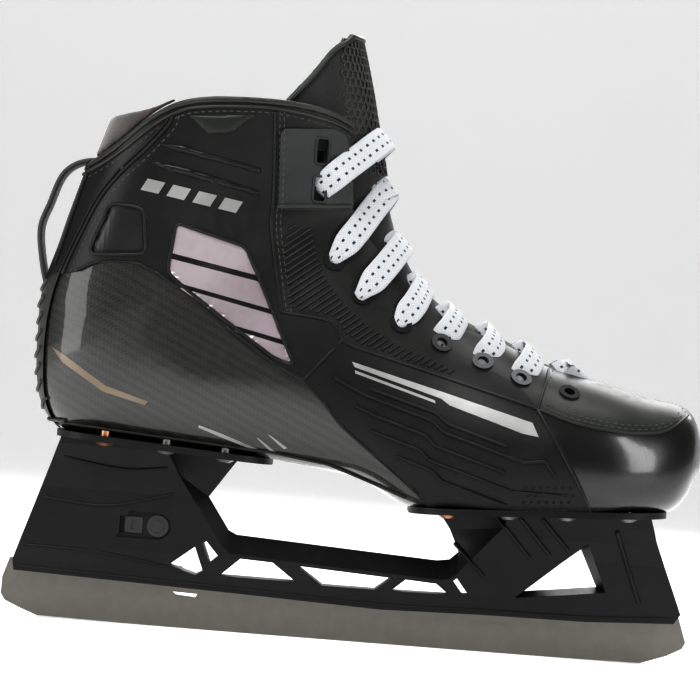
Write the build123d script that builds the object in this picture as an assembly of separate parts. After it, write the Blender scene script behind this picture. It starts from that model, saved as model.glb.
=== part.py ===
"""Goalkeeper's ice-hockey skate for the right foot: a moulded boot on a two-tower blade holder.

Millimetres. +X points to the toe, +Y to the inner (medial) side, +Z up.
The origin is the middle of the runner's flat, on the ice, in the runner's own plane.
"""

import math
import os

from build123d import *

# ---------------------------------------------------------------- driving dimensions
OVERLAY = 1.2              # moulded panels on the composite shell
SHELL = 2.6                # composite shell wall
LINING = 3.6               # foam and fabric lining
BINDING_HEIGHT = 3.0       # rolled edge round the collar
BINDING_PROUD = 0.8        # it stands this far out of the panels and the lining
FOOTBED = 4.2
POCKET_FLOOR = 0.5         # panel left under the smooth pocket behind the ankle
WINDOW_FLOOR = 0.6         # glossy insert in the quarter's window
THROAT_TOP = 23.0          # half width of the lace opening at the collar
THROAT_TOE = 13.0          # half width at its toe end
TAB = 1.8                  # ankle tab's thickness on top of the facing

TONGUE_UNDER = 0.8         # the tongue fills the lace opening up to this far below the panels
TONGUE_SIDE = 9.8          # its sides lie this far inside the boot's form
TONGUE = 9.0               # felt thickness
FLEX_GAP = 0.9             # room along the edge where a soft flap bends
TONGUE_HINGE = (1.8, 230.0)
GUARD_OUT, GUARD_IN = 2.6, 8.4   # tendon guard's faces, measured in from the boot's form

SOLE_DEPTH = 2.8           # the form reaches this far below the flat seats
FLANGE = 2.9               # thickness of the holder's two flanges
REAR_FLANGE_HALF = 27.0
FRONT_FLANGE_HALF = 37.0
STEEL = 4.0                # runner thickness
STEEL_GAP = 0.15           # clearance each side in the holder's slot
SLOT_TOP = 22.4            # how high the slot reaches above the ice
ROCKER = 8500.0            # radius of the runner towards both ends
RUNNER_FLAT = (-30.0, 45.0)
HEEL_CORNER, TOE_CORNER = -138.5, 136.0          # where the runner's ends turn up
PIVOT = (143.5, 26.0)      # the runner's front boss turns here when the heel end is released
PIVOT_R = 4.0
PIVOT_GAP = 0.2

TANG_X = -86.7             # rear tang, behind the release button
TANG_HALF = 5.0
TANG_TOP = 51.0
NOTCH = (44.6, 46.8)       # heights of the notches in the tang for the retaining clip
NOTCH_DEPTH = 1.4
BUTTON_R = 5.0
BUTTON_GAP = 0.2
BUTTON_TRAVEL = 2.5
BUTTON_Z = 45.7
RECESS_Y = 8.0             # floor of the recess that the button and the slider sit in
BUTTON_PROUD = 0.7
BUTTON_DEPTH = 3.1
BUTTON_WALL = 0.9
BUTTON_RING = (2.7, 3.1)   # radii of the groove in its face
SPRING_WIRE = 0.7
SPRING_R = 3.2
SPRING_COIL = (1.2, 3.0)   # pitch and height
SLIDER = ((-101.6, -93.5), (41.9, 49.2))         # its x and z at rest, in the room it slides in
SLIDER_TRAVEL = 2.0
SLIDER_FREE = 0.2
CLIP_GAP = 0.1
CLIP_WALL = 2.6
CLIP_INNER_Y, CLIP_OUTER_Y = 3.1, 4.3            # the clip's bridge, on the far side of the tang

RIVET_R = 2.2
RIVET_HEAD_R = 4.6
RIVET_HEAD = 1.5
REAR_RIVETS = (-112.7, -85.0, -58.4)
FRONT_RIVETS = (42.9, 70.0, 96.0, 123.0)
RIVET_INSET = 7.0          # rivet centre to the flange's edge

EYELET_BORE = 2.5
EYELET_BARREL = 3.4
EYELET_RING = 4.8
EYELET_HEIGHT = 0.9
LACE_WIDTH = 9.5
LACE = 1.4                 # lace thickness
LACE_LIFT = 1.1            # the lace rides this far above the panels

# ---------------------------------------------------------------- side-view outlines
# A run of points is one smooth curve; a pair is a straight line.
HEEL_SEAT = ((-134.0, 86.2), (-37.0, 80.4))      # flat sole under the heel
ARCH = (-12.0, 77.2)
TOE_SEAT = ((26.0, 64.1), (142.0, 70.5))         # flat sole under the forefoot

COLLAR = [(-140, 203.5), (-132, 206.6), (-124, 211), (-115, 217.8), (-103, 228.5),
          (-92.5, 235.0), (-83, 238), (-65, 239.9), (-43, 240.2), (-17, 235.8),
          (-6, 228.8), (-0.5, 221), (6, 211)]
STAY_EDGE = [(-92.5, 236.5), (-95.5, 226.0), (-104.4, 215.1), (-116.0, 202.7), (-124.5, 190.5),
             (-132.5, 172.6), (-138.6, 156.9), (-142.1, 143.5), (-143.6, 130.0),
             (-143.6, 117.0), (-142.5, 103.3), (-140.0, 94.0), (-134.5, 86.0)]
GUARD_FOOT = [(-165.0, 146.0), (-150.0, 151.0), (-138.6, 156.9)]
QUARTER_SEAM = [(-47.7, 243.0), (-46.3, 215.0), (-45.4, 195.2), (-45.4, 181.3), (-37.8, 146.4)]
FLAP_TOP = [(-37.8, 146.4), (-16.0, 143.9), (-9.9, 136.2)]
FLAP_END = [(-9.9, 136.2), (-25.9, 117.2)]
QUARTER_FOOT = [(-25.9, 117.2), (-39.8, 123.9), (-60.7, 137.4), (-85.9, 154.6), (-95.0, 160.0),
                (-106.0, 163.4), (-121.0, 162.4), (-131.0, 157.8), (-138.6, 156.9)]
FACING_FOOT = [(-9.9, 136.2), (-5.5, 133.9), (7.6, 130.4), (78.5, 112.4)]
FACING_FRONT = [(78.5, 112.4), (84.5, 133.2), (86.5, 145.0)]
WRAP_REAR = [(-25.9, 117.2), (-15.7, 107.5), (-7.7, 98.6), (8.3, 86.2), (25.8, 72.9), (40.0, 58.0)]
WRAP_FRONT = [(78.5, 112.4), (106.5, 68.0), (111.0, 58.0)]
VAMP_EDGE = [(78.5, 112.4), (92.9, 107.9), (108.0, 105.6), (123.0, 104.9), (137.2, 107.0),
             (149.3, 115.6), (162.0, 126.0)]
WINDOW = [(-87.5, 182.4), (-56.0, 174.1), (-49.5, 161.8), (-30.2, 122.9), (-39.9, 125.9),
          (-60.8, 139.6), (-80.2, 152.8), (-89.7, 159.8)]
POCKET = [(-117.8, 189.2), (-101.9, 187.7), (-99.7, 167.2), (-126.0, 165.4)]
ANKLE_TAB = [(-44.4, 227.4), (-20.8, 229.5), (-15.0, 227.6), (-11.9, 214.0), (-9.3, 194.6),
             (-42.8, 191.6)]
TAB_SLOTS = [(-25.3, 219.3), (-25.3, 202.4)]
TAB_SLOT_SIZE = (4.4, 10.4)
EYELETS = [(-16.2, 171.4), (-2.7, 157.0), (15.6, 145.6), (34.4, 138.2), (53.2, 131.4),
           (70.6, 125.4), (92.6, 120.6)]
TONGUE_EDGE = [(-46.0, 238.0), (-43.5, 241.6), (-34.5, 253.0), (-26.2, 265.0), (-19.6, 271.0),
               (-15.0, 273.6), (6.0, 274.5)]
PAD_TOP = [(-131.0, 222.0), (-123.0, 227.8), (-111.0, 230.6), (-101.0, 233.4), (-94.0, 236.8),
           (-91.0, 238.2)]
LOOP_PATH = [(-144.5, 147.0), (-148.2, 160.0), (-150.4, 176.0), (-147.0, 187.8), (-142.8, 200.0),
             (-137.0, 206.0), (-129.0, 208.6), (-122.0, 208.0)]
LOOP_HALF = 9.0
LOOP_STRAP = 2.0

# ---------------------------------------------------------------- small helpers


def v(point):
    """A side-view point (x, z) as a vector in the skate's own plane."""
    return Vector(point[0], 0, point[1])


def face_of(*runs):
    """A side-view face. A run of two points is a line and a longer run is a smooth curve."""
    edges = []
    for run in runs:
        points = [v(p) for p in run]
        if len(points) == 2:
            edges.append(Edge.make_line(*points))
        else:
            edges.append(Edge.make_spline(points))
    return Face(Wire(edges))


def polygon(points, radius=0.0):
    """Closed straight-sided side-view outline with corners of one radius."""
    ring = list(points) + [points[0]]
    face = face_of(*[[a, b] for a, b in zip(ring, ring[1:])])
    return face.fillet_2d(radius, face.vertices()) if radius else face


def prism(face, y_from=-90.0, y_to=90.0):
    """A side-view face pushed sideways from one y to another."""
    return Solid.extrude(face.moved(Location((0, y_from, 0))), Vector(0, y_to - y_from, 0))


def box(x, y, z):
    """Box from three (low, high) pairs."""
    size = [high - low for low, high in (x, y, z)]
    centre = [(high + low) / 2 for low, high in (x, y, z)]
    return Solid.make_box(*size).moved(Location([c - s / 2 for c, s in zip(centre, size)]))


def rod(x, z, radius, y_from, y_to):
    """Cylinder across the skate."""
    return Solid.make_cylinder(radius, y_to - y_from, Plane((x, y_from, z), z_dir=(0, 1, 0)))


def height(line, x):
    """Height of the straight line through two side-view points, at x."""
    (x0, z0), (x1, z1) = line
    return z0 + (x - x0) * (z1 - z0) / (x1 - x0)


def below(offset):
    """Everything under the sole line raised by offset."""
    line = [(-175, height(HEEL_SEAT, -175)), HEEL_SEAT[1], ARCH, TOE_SEAT[0],
            (180, height(TOE_SEAT, 180))]
    return prism(polygon([(x, z + offset) for x, z in line] + [(180, 30), (-175, 30)]))


def cut(shape, *tools):
    for tool in tools:
        shape = shape - tool
    return shape


def solids_of(*shapes):
    """The solids of some shapes, without slivers."""
    return [solid for shape in shapes for solid in shape.solids() if solid.volume > 0.5]


parts = {}


def add(name, *shapes):
    solids = solids_of(*shapes)
    parts[name] = solids[0] if len(solids) == 1 else Compound(solids)


SIDES = {"lateral": -1, "medial": 1}


def half(side):
    """Everything on one side of the skate's own plane."""
    return box((-200, 200), (0, 90) if side > 0 else (-90, 0), (0, 320))


# ---------------------------------------------------------------- the boot's form


def under(line, x):
    return height(line, x) - SOLE_DEPTH


# Each station is a closed section through the foot, from the sole or heel side to the instep
# side: sole x, z, instep x, z, half width, sideways shift, where it is widest, and how square
# its sole half and its instep half are. They run from the toe round the ankle to above the collar.
STATIONS = [
    (155.6, 91.5, 155.6, 102.5, 9.0, 4.5, 0.50, 2.2, 2.2),
    (154.3, 84.5, 154.3, 109.0, 18.5, 4.4, 0.50, 2.4, 2.2),
    (150.5, 77.0, 150.8, 115.5, 28.0, 4.2, 0.46, 2.6, 2.2),
    (143.0, 69.8, 144.0, 119.0, 36.5, 4.0, 0.42, 2.9, 2.2),
    (129.0, under(TOE_SEAT, 129), 131.0, 121.0, 43.5, 3.0, 0.38, 3.2, 2.2),
    (108.0, under(TOE_SEAT, 108), 111.0, 126.0, 49.0, 1.0, 0.36, 3.4, 2.1),
    (84.0, under(TOE_SEAT, 84), 87.0, 131.5, 51.0, -0.5, 0.36, 3.4, 2.0),
    (58.0, under(TOE_SEAT, 58), 62.0, 143.0, 48.5, -1.0, 0.36, 3.4, 1.9),
    (30.0, under(TOE_SEAT, 30), 41.0, 151.5, 44.0, -0.5, 0.38, 3.2, 1.85),
    (-2.0, 74.2, 27.5, 161.0, 40.5, 0.0, 0.40, 3.0, 1.9),
    (-38.0, under(HEEL_SEAT, -38), 17.5, 174.0, 39.0, 0.0, 0.40, 2.8, 1.95),
    (-84.0, under(HEEL_SEAT, -84), 11.0, 187.5, 38.5, 0.0, 0.38, 2.7, 2.0),
    (-128.0, under(HEEL_SEAT, -128), 7.5, 199.0, 37.5, 0.0, 0.36, 2.4, 2.1),
    (-144.8, 98.5, 5.5, 207.5, 37.5, 0.0, 0.36, 2.1, 2.1),
    (-148.2, 120.0, 4.0, 215.0, 38.0, 0.0, 0.37, 2.1, 2.2),
    (-148.4, 143.0, 2.0, 223.0, 38.5, 0.0, 0.39, 2.1, 2.2),
    (-142.8, 167.0, 0.0, 231.0, 39.5, 0.0, 0.42, 2.2, 2.2),
    (-136.0, 192.0, -2.0, 239.5, 41.0, 0.0, 0.45, 2.2, 2.2),
    (-128.5, 217.0, -4.5, 250.0, 42.5, 0.0, 0.47, 2.2, 2.2),
    (-120.0, 245.0, -9.5, 268.0, 43.5, 0.0, 0.49, 2.2, 2.2),
    (-112.0, 272.0, -16.0, 288.0, 44.5, 0.0, 0.50, 2.2, 2.2),
]
STATION_SPACING = 7.0
SIDE_POINTS = 16
SIDE_KNOTS = [k / SIDE_POINTS for k in range(SIDE_POINTS + 1)]
TOE_STATIONS = 5           # stations that move back when the form is made smaller
NARROWEST = 0.42           # a section never shrinks by more than this share of its half width


def section(station, instep, sides, sole):
    """One closed section of the form, smaller at the instep, at both sides and at the sole."""
    xs, zs, xi, zi, half_width, shift, widest, low_power, high_power = station
    limit = NARROWEST * half_width
    instep, sides, sole = min(instep, limit), min(sides, limit), min(sole, limit)
    run = math.hypot(xi - xs, zi - zs)
    ex, ez = (xi - xs) / run, (zi - zs) / run
    length, half_width = run - instep - sole, half_width - sides
    edges = []
    for side in (1, -1):
        points = []
        for k in range(SIDE_POINTS + 1):
            c, s = math.cos(math.pi * k / SIDE_POINTS), math.sin(math.pi * k / SIDE_POINTS)
            power = low_power if c > 0 else high_power
            reach = abs(c) ** (2 / power)
            along = sole + widest * length
            along += -widest * length * reach if c > 0 else (1 - widest) * length * reach
            out = half_width * max(0.0, s) ** (2 / power) * side + shift
            points.append(Vector(xs + ex * along, out, zs + ez * along))
        edges.append(Edge.make_spline(points[::side], parameters=SIDE_KNOTS))
    return Wire(edges)


def monotone(places, values, place):
    """Smooth curve through values at places that never overshoots between two of them."""
    steps = [b - a for a, b in zip(places, places[1:])]
    rises = [(b - a) / step for a, b, step in zip(values, values[1:], steps)]
    slopes = [rises[0]]
    for before, after in zip(rises, rises[1:]):
        slopes.append(2 * before * after / (before + after) if before * after > 0 else 0.0)
    slopes.append(rises[-1])
    k = max(i for i in range(len(steps)) if places[i] <= place or i == 0)
    t = (place - places[k]) / steps[k]
    return (values[k] * (2 * t**3 - 3 * t**2 + 1) + values[k + 1] * (3 * t**2 - 2 * t**3)
            + steps[k] * (slopes[k] * (t**3 - 2 * t**2 + t) + slopes[k + 1] * (t**3 - t**2)))


def filled_in(stations):
    """The stations with smoothly interpolated ones between them."""
    middles = [((s[0] + s[2]) / 2, (s[1] + s[3]) / 2) for s in stations]
    places = [0.0]
    for a, b in zip(middles, middles[1:]):
        places.append(places[-1] + math.dist(a, b))
    columns = list(zip(*stations))
    full = []
    for start, end in zip(places, places[1:]):
        count = max(1, round((end - start) / STATION_SPACING))
        full += [start + (end - start) * k / count for k in range(count)]
    full.append(places[-1])
    return [tuple(monotone(places, column, place) for column in columns) for place in full]


def form(instep, sides=None, sole=None):
    """The boot's outer form made smaller, by one distance all round or by three."""
    sides = instep if sides is None else sides
    sole = instep if sole is None else sole
    moved = []
    for number, station in enumerate(STATIONS):
        back = instep * max(0.0, 1 - number / TOE_STATIONS)
        lift = 2 * instep if number == len(STATIONS) - 1 else 0.0
        start = (station[0] - back, station[1] + lift, station[2] - back, station[3] + lift)
        moved.append(start + station[4:])
    return Solid.make_loft([section(station, instep, sides, sole) for station in filled_in(moved)])


def layer(outer, inner):
    return form(outer) - form(inner)


def above(line):
    """Everything over a side-view curve that runs from the heel side to the toe side."""
    start, end = line[0], line[-1]
    return prism(face_of(line, [end, (60, end[1])], [(60, end[1]), (60, 320)],
                         [(60, 320), (-180, 320)], [(-180, 320), (-180, start[1])],
                         [(-180, start[1]), start]))


over_collar = above(COLLAR)
over_body = above([(x, z - BINDING_HEIGHT) for x, z in COLLAR])
under_sole = below(0.0)

# The lace opening is drawn on a plane along the instep and pushed out through the boot.
INSTEP_TOP, INSTEP_TOE = Vector(-2, 0, 232), Vector(101, 0, 128)
INSTEP_DEPTH = 50.0
along_instep = (INSTEP_TOE - INSTEP_TOP).normalized()
off_instep = Vector(-along_instep.Z, 0, along_instep.X)
instep_plane = Plane(INSTEP_TOP - off_instep * INSTEP_DEPTH, x_dir=along_instep, z_dir=off_instep)
INSTEP_RUN = (INSTEP_TOE - INSTEP_TOP).length


def on_instep(face, far=120.0):
    return Solid.extrude(instep_plane.from_local_coords(face), off_instep * far)


def throat(ease=0.0, start=-90.0):
    """Prism of the lace opening, narrower all round by ease."""
    top, toe, end = THROAT_TOP - ease, THROAT_TOE - ease, INSTEP_RUN - ease
    corners = [(start, -top), (0, -top), (end - toe, -toe), (end, 0), (end - toe, toe), (0, top),
               (start, top)]
    lines = [Edge.make_line(a, b) for a, b in zip(corners[:2], corners[1:3])]
    arc = Edge.make_three_point_arc(*corners[2:5])
    lines += [arc] + [Edge.make_line(a, b) for a, b in zip(corners[4:], corners[5:] + corners[:1])]
    return on_instep(Face(Wire(lines)))


opening = throat()


def on_form(x, z, side, depth=0.0):
    """Point and outward normal where the form's side stands over a side-view point."""
    hits = form(depth).find_intersection_points(Axis((x, side * 80, z), (0, -side, 0)))
    point, normal = max(hits, key=lambda hit: side * hit[0].Y)
    return point, (normal if side * normal.Y > 0 else -normal)


# ---------------------------------------------------------------- shell, lining and footbed
INNER = OVERLAY + SHELL
CAVITY = INNER + LINING

hollow = form(INNER) - below(SHELL)
shell = cut(form(OVERLAY), hollow, over_body, under_sole, opening)
lining = cut(hollow, form(CAVITY), below(SHELL + FOOTBED), over_body, opening)
footbed = hollow & below(SHELL + FOOTBED)

# ---------------------------------------------------------------- panels on the shell
skin = cut(layer(0.0, OVERLAY), over_body, under_sole, opening)

BACK, FRONT, HIGH, LOW = -175.0, 175.0, 310.0, 40.0


def region(*runs):
    """Part of the skin inside a side-view outline, on both sides."""
    return skin & prism(face_of(*runs))


stay_up, stay_down = STAY_EDGE[:7], STAY_EDGE[6:]
back_of_stay = face_of(stay_up, GUARD_FOOT[::-1], [GUARD_FOOT[0], (BACK, HIGH)],
                       [(BACK, HIGH), STAY_EDGE[0]])
heel_stay_face = face_of(stay_down, [STAY_EDGE[-1], (BACK, LOW)], [(BACK, LOW), GUARD_FOOT[0]],
                         GUARD_FOOT)
achilles_band = skin & prism(back_of_stay)
heel_stay = skin & prism(heel_stay_face)
toe_cap = region(VAMP_EDGE, [VAMP_EDGE[-1], (FRONT, VAMP_EDGE[-1][1])],
                 [(FRONT, VAMP_EDGE[-1][1]), (FRONT, LOW)], [(FRONT, LOW), WRAP_FRONT[-1]],
                 WRAP_FRONT[::-1])
vamp = region(VAMP_EDGE, [VAMP_EDGE[-1], (VAMP_EDGE[-1][0], 170)],
              [(VAMP_EDGE[-1][0], 170), (FACING_FRONT[-1][0], 170)],
              [(FACING_FRONT[-1][0], 170), FACING_FRONT[-1]], FACING_FRONT[::-1])
facings = region(QUARTER_SEAM, FLAP_TOP, FACING_FOOT, FACING_FRONT,
                 [FACING_FRONT[-1], (FACING_FRONT[-1][0], HIGH)],
                 [(FACING_FRONT[-1][0], HIGH), (QUARTER_SEAM[0][0], HIGH)],
                 [(QUARTER_SEAM[0][0], HIGH), QUARTER_SEAM[0]])
quarters = region(QUARTER_SEAM, FLAP_TOP, FLAP_END, QUARTER_FOOT, stay_up[::-1],
                  [STAY_EDGE[0], (STAY_EDGE[0][0], HIGH)],
                  [(STAY_EDGE[0][0], HIGH), (QUARTER_SEAM[0][0], HIGH)],
                  [(QUARTER_SEAM[0][0], HIGH), QUARTER_SEAM[0]])
wraps = region(WRAP_REAR, [WRAP_REAR[-1], WRAP_FRONT[-1]], WRAP_FRONT[::-1], FACING_FOOT[::-1],
               FLAP_END)

window = prism(polygon(WINDOW, 2.0))
pocket = prism(polygon(POCKET, 3.0)) - form(OVERLAY - POCKET_FLOOR)
inserts = layer(OVERLAY - WINDOW_FLOOR, OVERLAY) & window
quarters = cut(quarters, window, pocket)

# ---------------------------------------------------------------- ankle tabs and eyelets
tabs = layer(-TAB, 0.0) & prism(polygon(ANKLE_TAB, 3.0))
tabs = cut(tabs, opening, over_body)
slot_cuts = [box((x - TAB_SLOT_SIZE[0] / 2, x + TAB_SLOT_SIZE[0] / 2), (-90, 90),
                 (z - TAB_SLOT_SIZE[1] / 2, z + TAB_SLOT_SIZE[1] / 2)) for x, z in TAB_SLOTS]
facings, tabs, shell, lining = (cut(piece, *slot_cuts) for piece in (facings, tabs, shell, lining))

barrel_cuts, eyelets = {}, {}
for name, side in SIDES.items():
    barrels, rings = [], []
    for x, z in EYELETS:
        point, normal = on_form(x, z, side)
        base = point - normal * (CAVITY + 1)
        plane = Plane(base, z_dir=normal)
        reach = CAVITY + 1 + EYELET_HEIGHT
        barrel = Solid.make_cylinder(EYELET_BARREL, reach, plane)
        bore = Solid.make_cylinder(EYELET_BORE, reach + 4, plane)
        ring = Solid.make_cylinder(EYELET_RING, reach, plane) - form(0.0)
        barrels.append(barrel)
        rings.append(cut((barrel - form(CAVITY)) + ring, bore))
    barrel_cuts[name], eyelets[name] = barrels, rings
all_barrels = barrel_cuts["lateral"] + barrel_cuts["medial"]
facings, vamp, shell, lining = (cut(piece, *all_barrels) for piece in (facings, vamp, shell, lining))

# ---------------------------------------------------------------- collar binding and flaps
collar_ring = form(-BINDING_PROUD) - form(CAVITY + BINDING_PROUD)
binding = cut(collar_ring & over_body, over_collar, opening)
binding = cut(binding, tabs)

wall = form(-3.0) - form(CAVITY + BINDING_PROUD + 0.6) - throat(0.7)
tongue_form = form(TONGUE_UNDER, TONGUE_SIDE, TONGUE_SIDE) - form(
    TONGUE_UNDER + TONGUE, TONGUE_SIDE + TONGUE * 0.55, TONGUE_SIDE + TONGUE)
tongue_side = face_of(TONGUE_EDGE, [TONGUE_EDGE[-1], (140, 274.5)], [(140, 274.5), (140, 100)],
                      [(140, 100), (60, 92)], [(60, 92), (-10, 150)], [(-10, 150), (-38, 200)],
                      [(-38, 200), TONGUE_EDGE[0]])
tongue_room = on_instep(Face.make_rect(2 * INSTEP_RUN - 4, 76))
tongue = cut(tongue_form & prism(tongue_side), wall) & tongue_room
hinge_rear = (-52.0, 247.0)
hinge_line = [TONGUE_HINGE, hinge_rear]


def band(line, low, high):
    """Strip along a straight side-view line, from low to high above it and well past both ends."""
    (x0, z0), (x1, z1) = line
    run = math.hypot(x1 - x0, z1 - z0)
    dx, dz = (x1 - x0) / run, (z1 - z0) / run
    nx, nz = (-dz, dx) if dx > 0 else (dz, -dx)
    a, b = (x0 - dx * 200, z0 - dz * 200), (x1 + dx * 100, z1 + dz * 100)
    return prism(polygon([(x + nx * far, z + nz * far)
                          for (x, z), far in ((a, low), (b, low), (b, high), (a, high))]))


tongue_top = tongue & band(hinge_line, FLEX_GAP / 2, 90)
tongue_base = tongue & band(hinge_line, -200, -FLEX_GAP / 2)

guard_foot = [(x, z + FLEX_GAP) for x, z in COLLAR[:6]]
pad_face = face_of(guard_foot, [guard_foot[-1], PAD_TOP[-1]], PAD_TOP[::-1],
                   [PAD_TOP[0], guard_foot[0]])
guard = (form(GUARD_OUT) & prism(pad_face)) - form(GUARD_IN)


def ribbon(path, thickness):
    """Side-view face of a strap that follows a path."""
    middle = Edge.make_spline([v(p) for p in path])
    rows = []
    for side in (1, -1):
        row = []
        for k in range(len(path) * 2):
            t = k / (len(path) * 2 - 1)
            tangent = middle % t
            normal = Vector(-tangent.Z, 0, tangent.X)
            point = middle @ t + normal * (side * thickness / 2)
            row.append((point.X, point.Z))
        rows.append(row)
    return face_of(rows[0], [rows[0][-1], rows[1][-1]], rows[1][::-1], [rows[1][0], rows[0][0]])


loop = cut(prism(ribbon(LOOP_PATH, LOOP_STRAP), -LOOP_HALF, LOOP_HALF), form(0.0), collar_ring)

# ---------------------------------------------------------------- laces
tie_points = []
for spot in [TAB_SLOTS[1]] + EYELETS:
    point, normal = on_form(*spot, -1)
    local = instep_plane.to_local_coords(point)
    tie_points.append((local.X, abs(local.Y)))
lace_zone = prism(face_of([(x, z - 5) for x, z in [(-40, 208)] + EYELETS + [(104, 121)]],
                          [(104, 116), (104, 320)], [(104, 320), (-40, 320)],
                          [(-40, 320), (-40, 203)]))


def strip(a, b):
    """Flat outline of the lace between two points of the instep plane."""
    run = math.dist(a, b) + LACE_WIDTH * 0.6
    angle = math.degrees(math.atan2(b[1] - a[1], b[0] - a[0]))
    middle = Location(((a[0] + b[0]) / 2, (a[1] + b[1]) / 2, 0), (0, 0, angle))
    return Face.make_rect(run, LACE_WIDTH).moved(middle)


lattice = strip((tie_points[-1][0], -tie_points[-1][1]), tie_points[-1])
for (u0, w0), (u1, w1) in zip(tie_points, tie_points[1:]):
    for side in SIDES.values():
        lattice = lattice + strip((u0, side * w0), (u1, -side * w1))
lace_room = Compound([on_instep(face) for face in lattice.faces()])
laces = cut(form(-LACE_LIFT - LACE) & lace_room & lace_zone, form(-LACE_LIFT))
laces = cut(laces, tabs, *eyelets["lateral"], *eyelets["medial"])

# ---------------------------------------------------------------- runner
heel_rise = (RUNNER_FLAT[0] - HEEL_CORNER) ** 2 / (2 * ROCKER)
toe_rise = (TOE_CORNER - RUNNER_FLAT[1]) ** 2 / (2 * ROCKER)


def rocker_arc(start_x, start_z, flat_x):
    """Long arc from the flat's end out to a corner, touching the ice at the flat."""
    middle = (start_x + flat_x) / 2
    return Edge.make_three_point_arc(v((start_x, start_z)), v((middle, start_z / 4)), v((flat_x, 0)))


runner_ends = {
    "toe": [(TOE_CORNER, toe_rise), (147.9, 4.6), (154.8, 8.3), (156.2, 11.2), (152.1, 22.7),
            (PIVOT[0], 22.7)],
    "heel": [(-149.5, SLOT_TOP), (-151.4, 26.0), (-153.0, 26.0), (-155.7, 17.1), (-155.8, 9.6),
             (-154.0, 6.7), (-146.8, 3.6), (HEEL_CORNER, heel_rise)],
}
top_run = [(PIVOT[0], 22.7), (PIVOT[0] - 9.0, SLOT_TOP)]
edges = [rocker_arc(HEEL_CORNER, heel_rise, RUNNER_FLAT[0]),
         Edge.make_line(v((RUNNER_FLAT[0], 0)), v((RUNNER_FLAT[1], 0))),
         rocker_arc(TOE_CORNER, toe_rise, RUNNER_FLAT[1])]
outline = runner_ends["toe"] + [top_run[1]] + runner_ends["heel"]
edges += [Edge.make_line(v(a), v(b)) for a, b in zip(outline, outline[1:])]
blade_face = Face(Wire(edges))
runner = prism(blade_face, -STEEL / 2, STEEL / 2) + rod(*PIVOT, PIVOT_R, -STEEL / 2, STEEL / 2)
tang = box((TANG_X - TANG_HALF, TANG_X + TANG_HALF), (-STEEL / 2, STEEL / 2), (10, TANG_TOP))
runner = runner + tang
for side in (-1, 1):
    notch_x = sorted((TANG_X + side * TANG_HALF, TANG_X + side * (TANG_HALF - NOTCH_DEPTH)))
    runner = runner - box(notch_x, (-5, 5), NOTCH)
    bevel = Solid.extrude(Face(Wire.make_polygon([(142.5, side * STEEL / 2, 0), (158, side * 1.0, 0),
                                                  (158, side * 4, 0), (142.5, side * 4, 0)])),
                          Vector(0, 0, 22.0))
    runner = runner - bevel
runner = runner - prism(polygon([(-78.4, 16.3), (-66.7, 16.0), (-67.6, 14.3), (-76.4, 14.9)]))

# ---------------------------------------------------------------- blade holder
RAIL_FOOT = [(-150.4, 20.9), (-47.5, 17.9), (16.6, 15.8), (61.2, 17.0), (109.6, 17.5),
             (149.6, 19.7)]
holder_side = [(-132.6, 84.0), (-151.2, 25.8)] + RAIL_FOOT + [(152.4, 24.1), (138.2, 57.0),
                                                             (134.6, 68.0), (30, 62.5), (-60, 80.0)]
REAR_PROFILE = [(14, 6.2), (24, 7.2), (34, 9.5), (60, 10.2), (72, 11.5), (80, 14.0), (88, 14.5)]
FRONT_PROFILE = [(14, 6.2), (24, 7.2), (34, 9.5), (45, 10.6), (54, 13.0), (61, 17.0), (72, 18.5)]
WINDOW_NEAR = [(-90.0, 90.0), (-78.9, 69.9), (-57.9, 40.1), (-53.5, 36.0), (42.0, 31.0),
               (46.5, 31.8), (50.0, 34.8), (68.5, 57.0), (70.5, 62.0), (66.0, 82.0)]
WINDOW_MID = [(-45.0, 90.0), (-65.0, 60.5), (-54.8, 46.0), (-51.0, 44.2), (40.5, 39.7),
              (46.4, 40.6), (50.3, 44.4), (45.4, 54.5), (40.0, 62.0), (38.0, 82.0)]
TOE_WINDOW_NEAR = [(107.7, 53.3), (117.8, 31.4), (75.9, 25.1)]
TOE_WINDOW_MID = [(105.7, 49.8), (113.9, 33.3), (79.8, 28.7)]
BEVEL_Y = 9.5              # how far out the windows' sloping walls reach
TRUSS_WINDOWS = [
    [(-80.6, 28.5), (-69.1, 37.8), (-64.8, 27.0), (-68.1, 25.0)],
    [(-65.9, 39.5), (-64.1, 40.7), (-58.3, 34.4), (-62.2, 30.7)],
    [(-57.3, 25.4), (-48.2, 34.0), (-33.6, 33.4), (-22.3, 25.3)],
    [(-23.0, 32.8), (20.9, 30.6), (13.4, 24.6), (-10.4, 24.6)],
    [(20.6, 24.6), (27.0, 30.4), (41.0, 29.6), (47.1, 25.0)],
    [(48.4, 31.4), (50.1, 32.8), (56.0, 25.4), (53.1, 25.6)],
]


def lengthwise(profile, x_from, x_to):
    """Solid along the skate whose half width is given at several heights."""
    points = [(x_from, w, z) for z, w in profile] + [(x_from, -w, z) for z, w in profile[::-1]]
    outline = Wire.make_polygon([Vector(*p) for p in points])
    return Solid.extrude(Face(outline), Vector(x_to - x_from, 0, 0))


def bevelled(near, mid):
    """Opening whose walls slope from an outline at both faces to a smaller one in the middle."""
    rings = []
    for y, outline in ((-40, near), (-BEVEL_Y, near), (-1, mid), (1, mid), (BEVEL_Y, near), (40, near)):
        rings.append(Wire.make_polygon([Vector(x, y, z) for x, z in outline]))
    return Solid.make_loft(rings, True)


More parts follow.
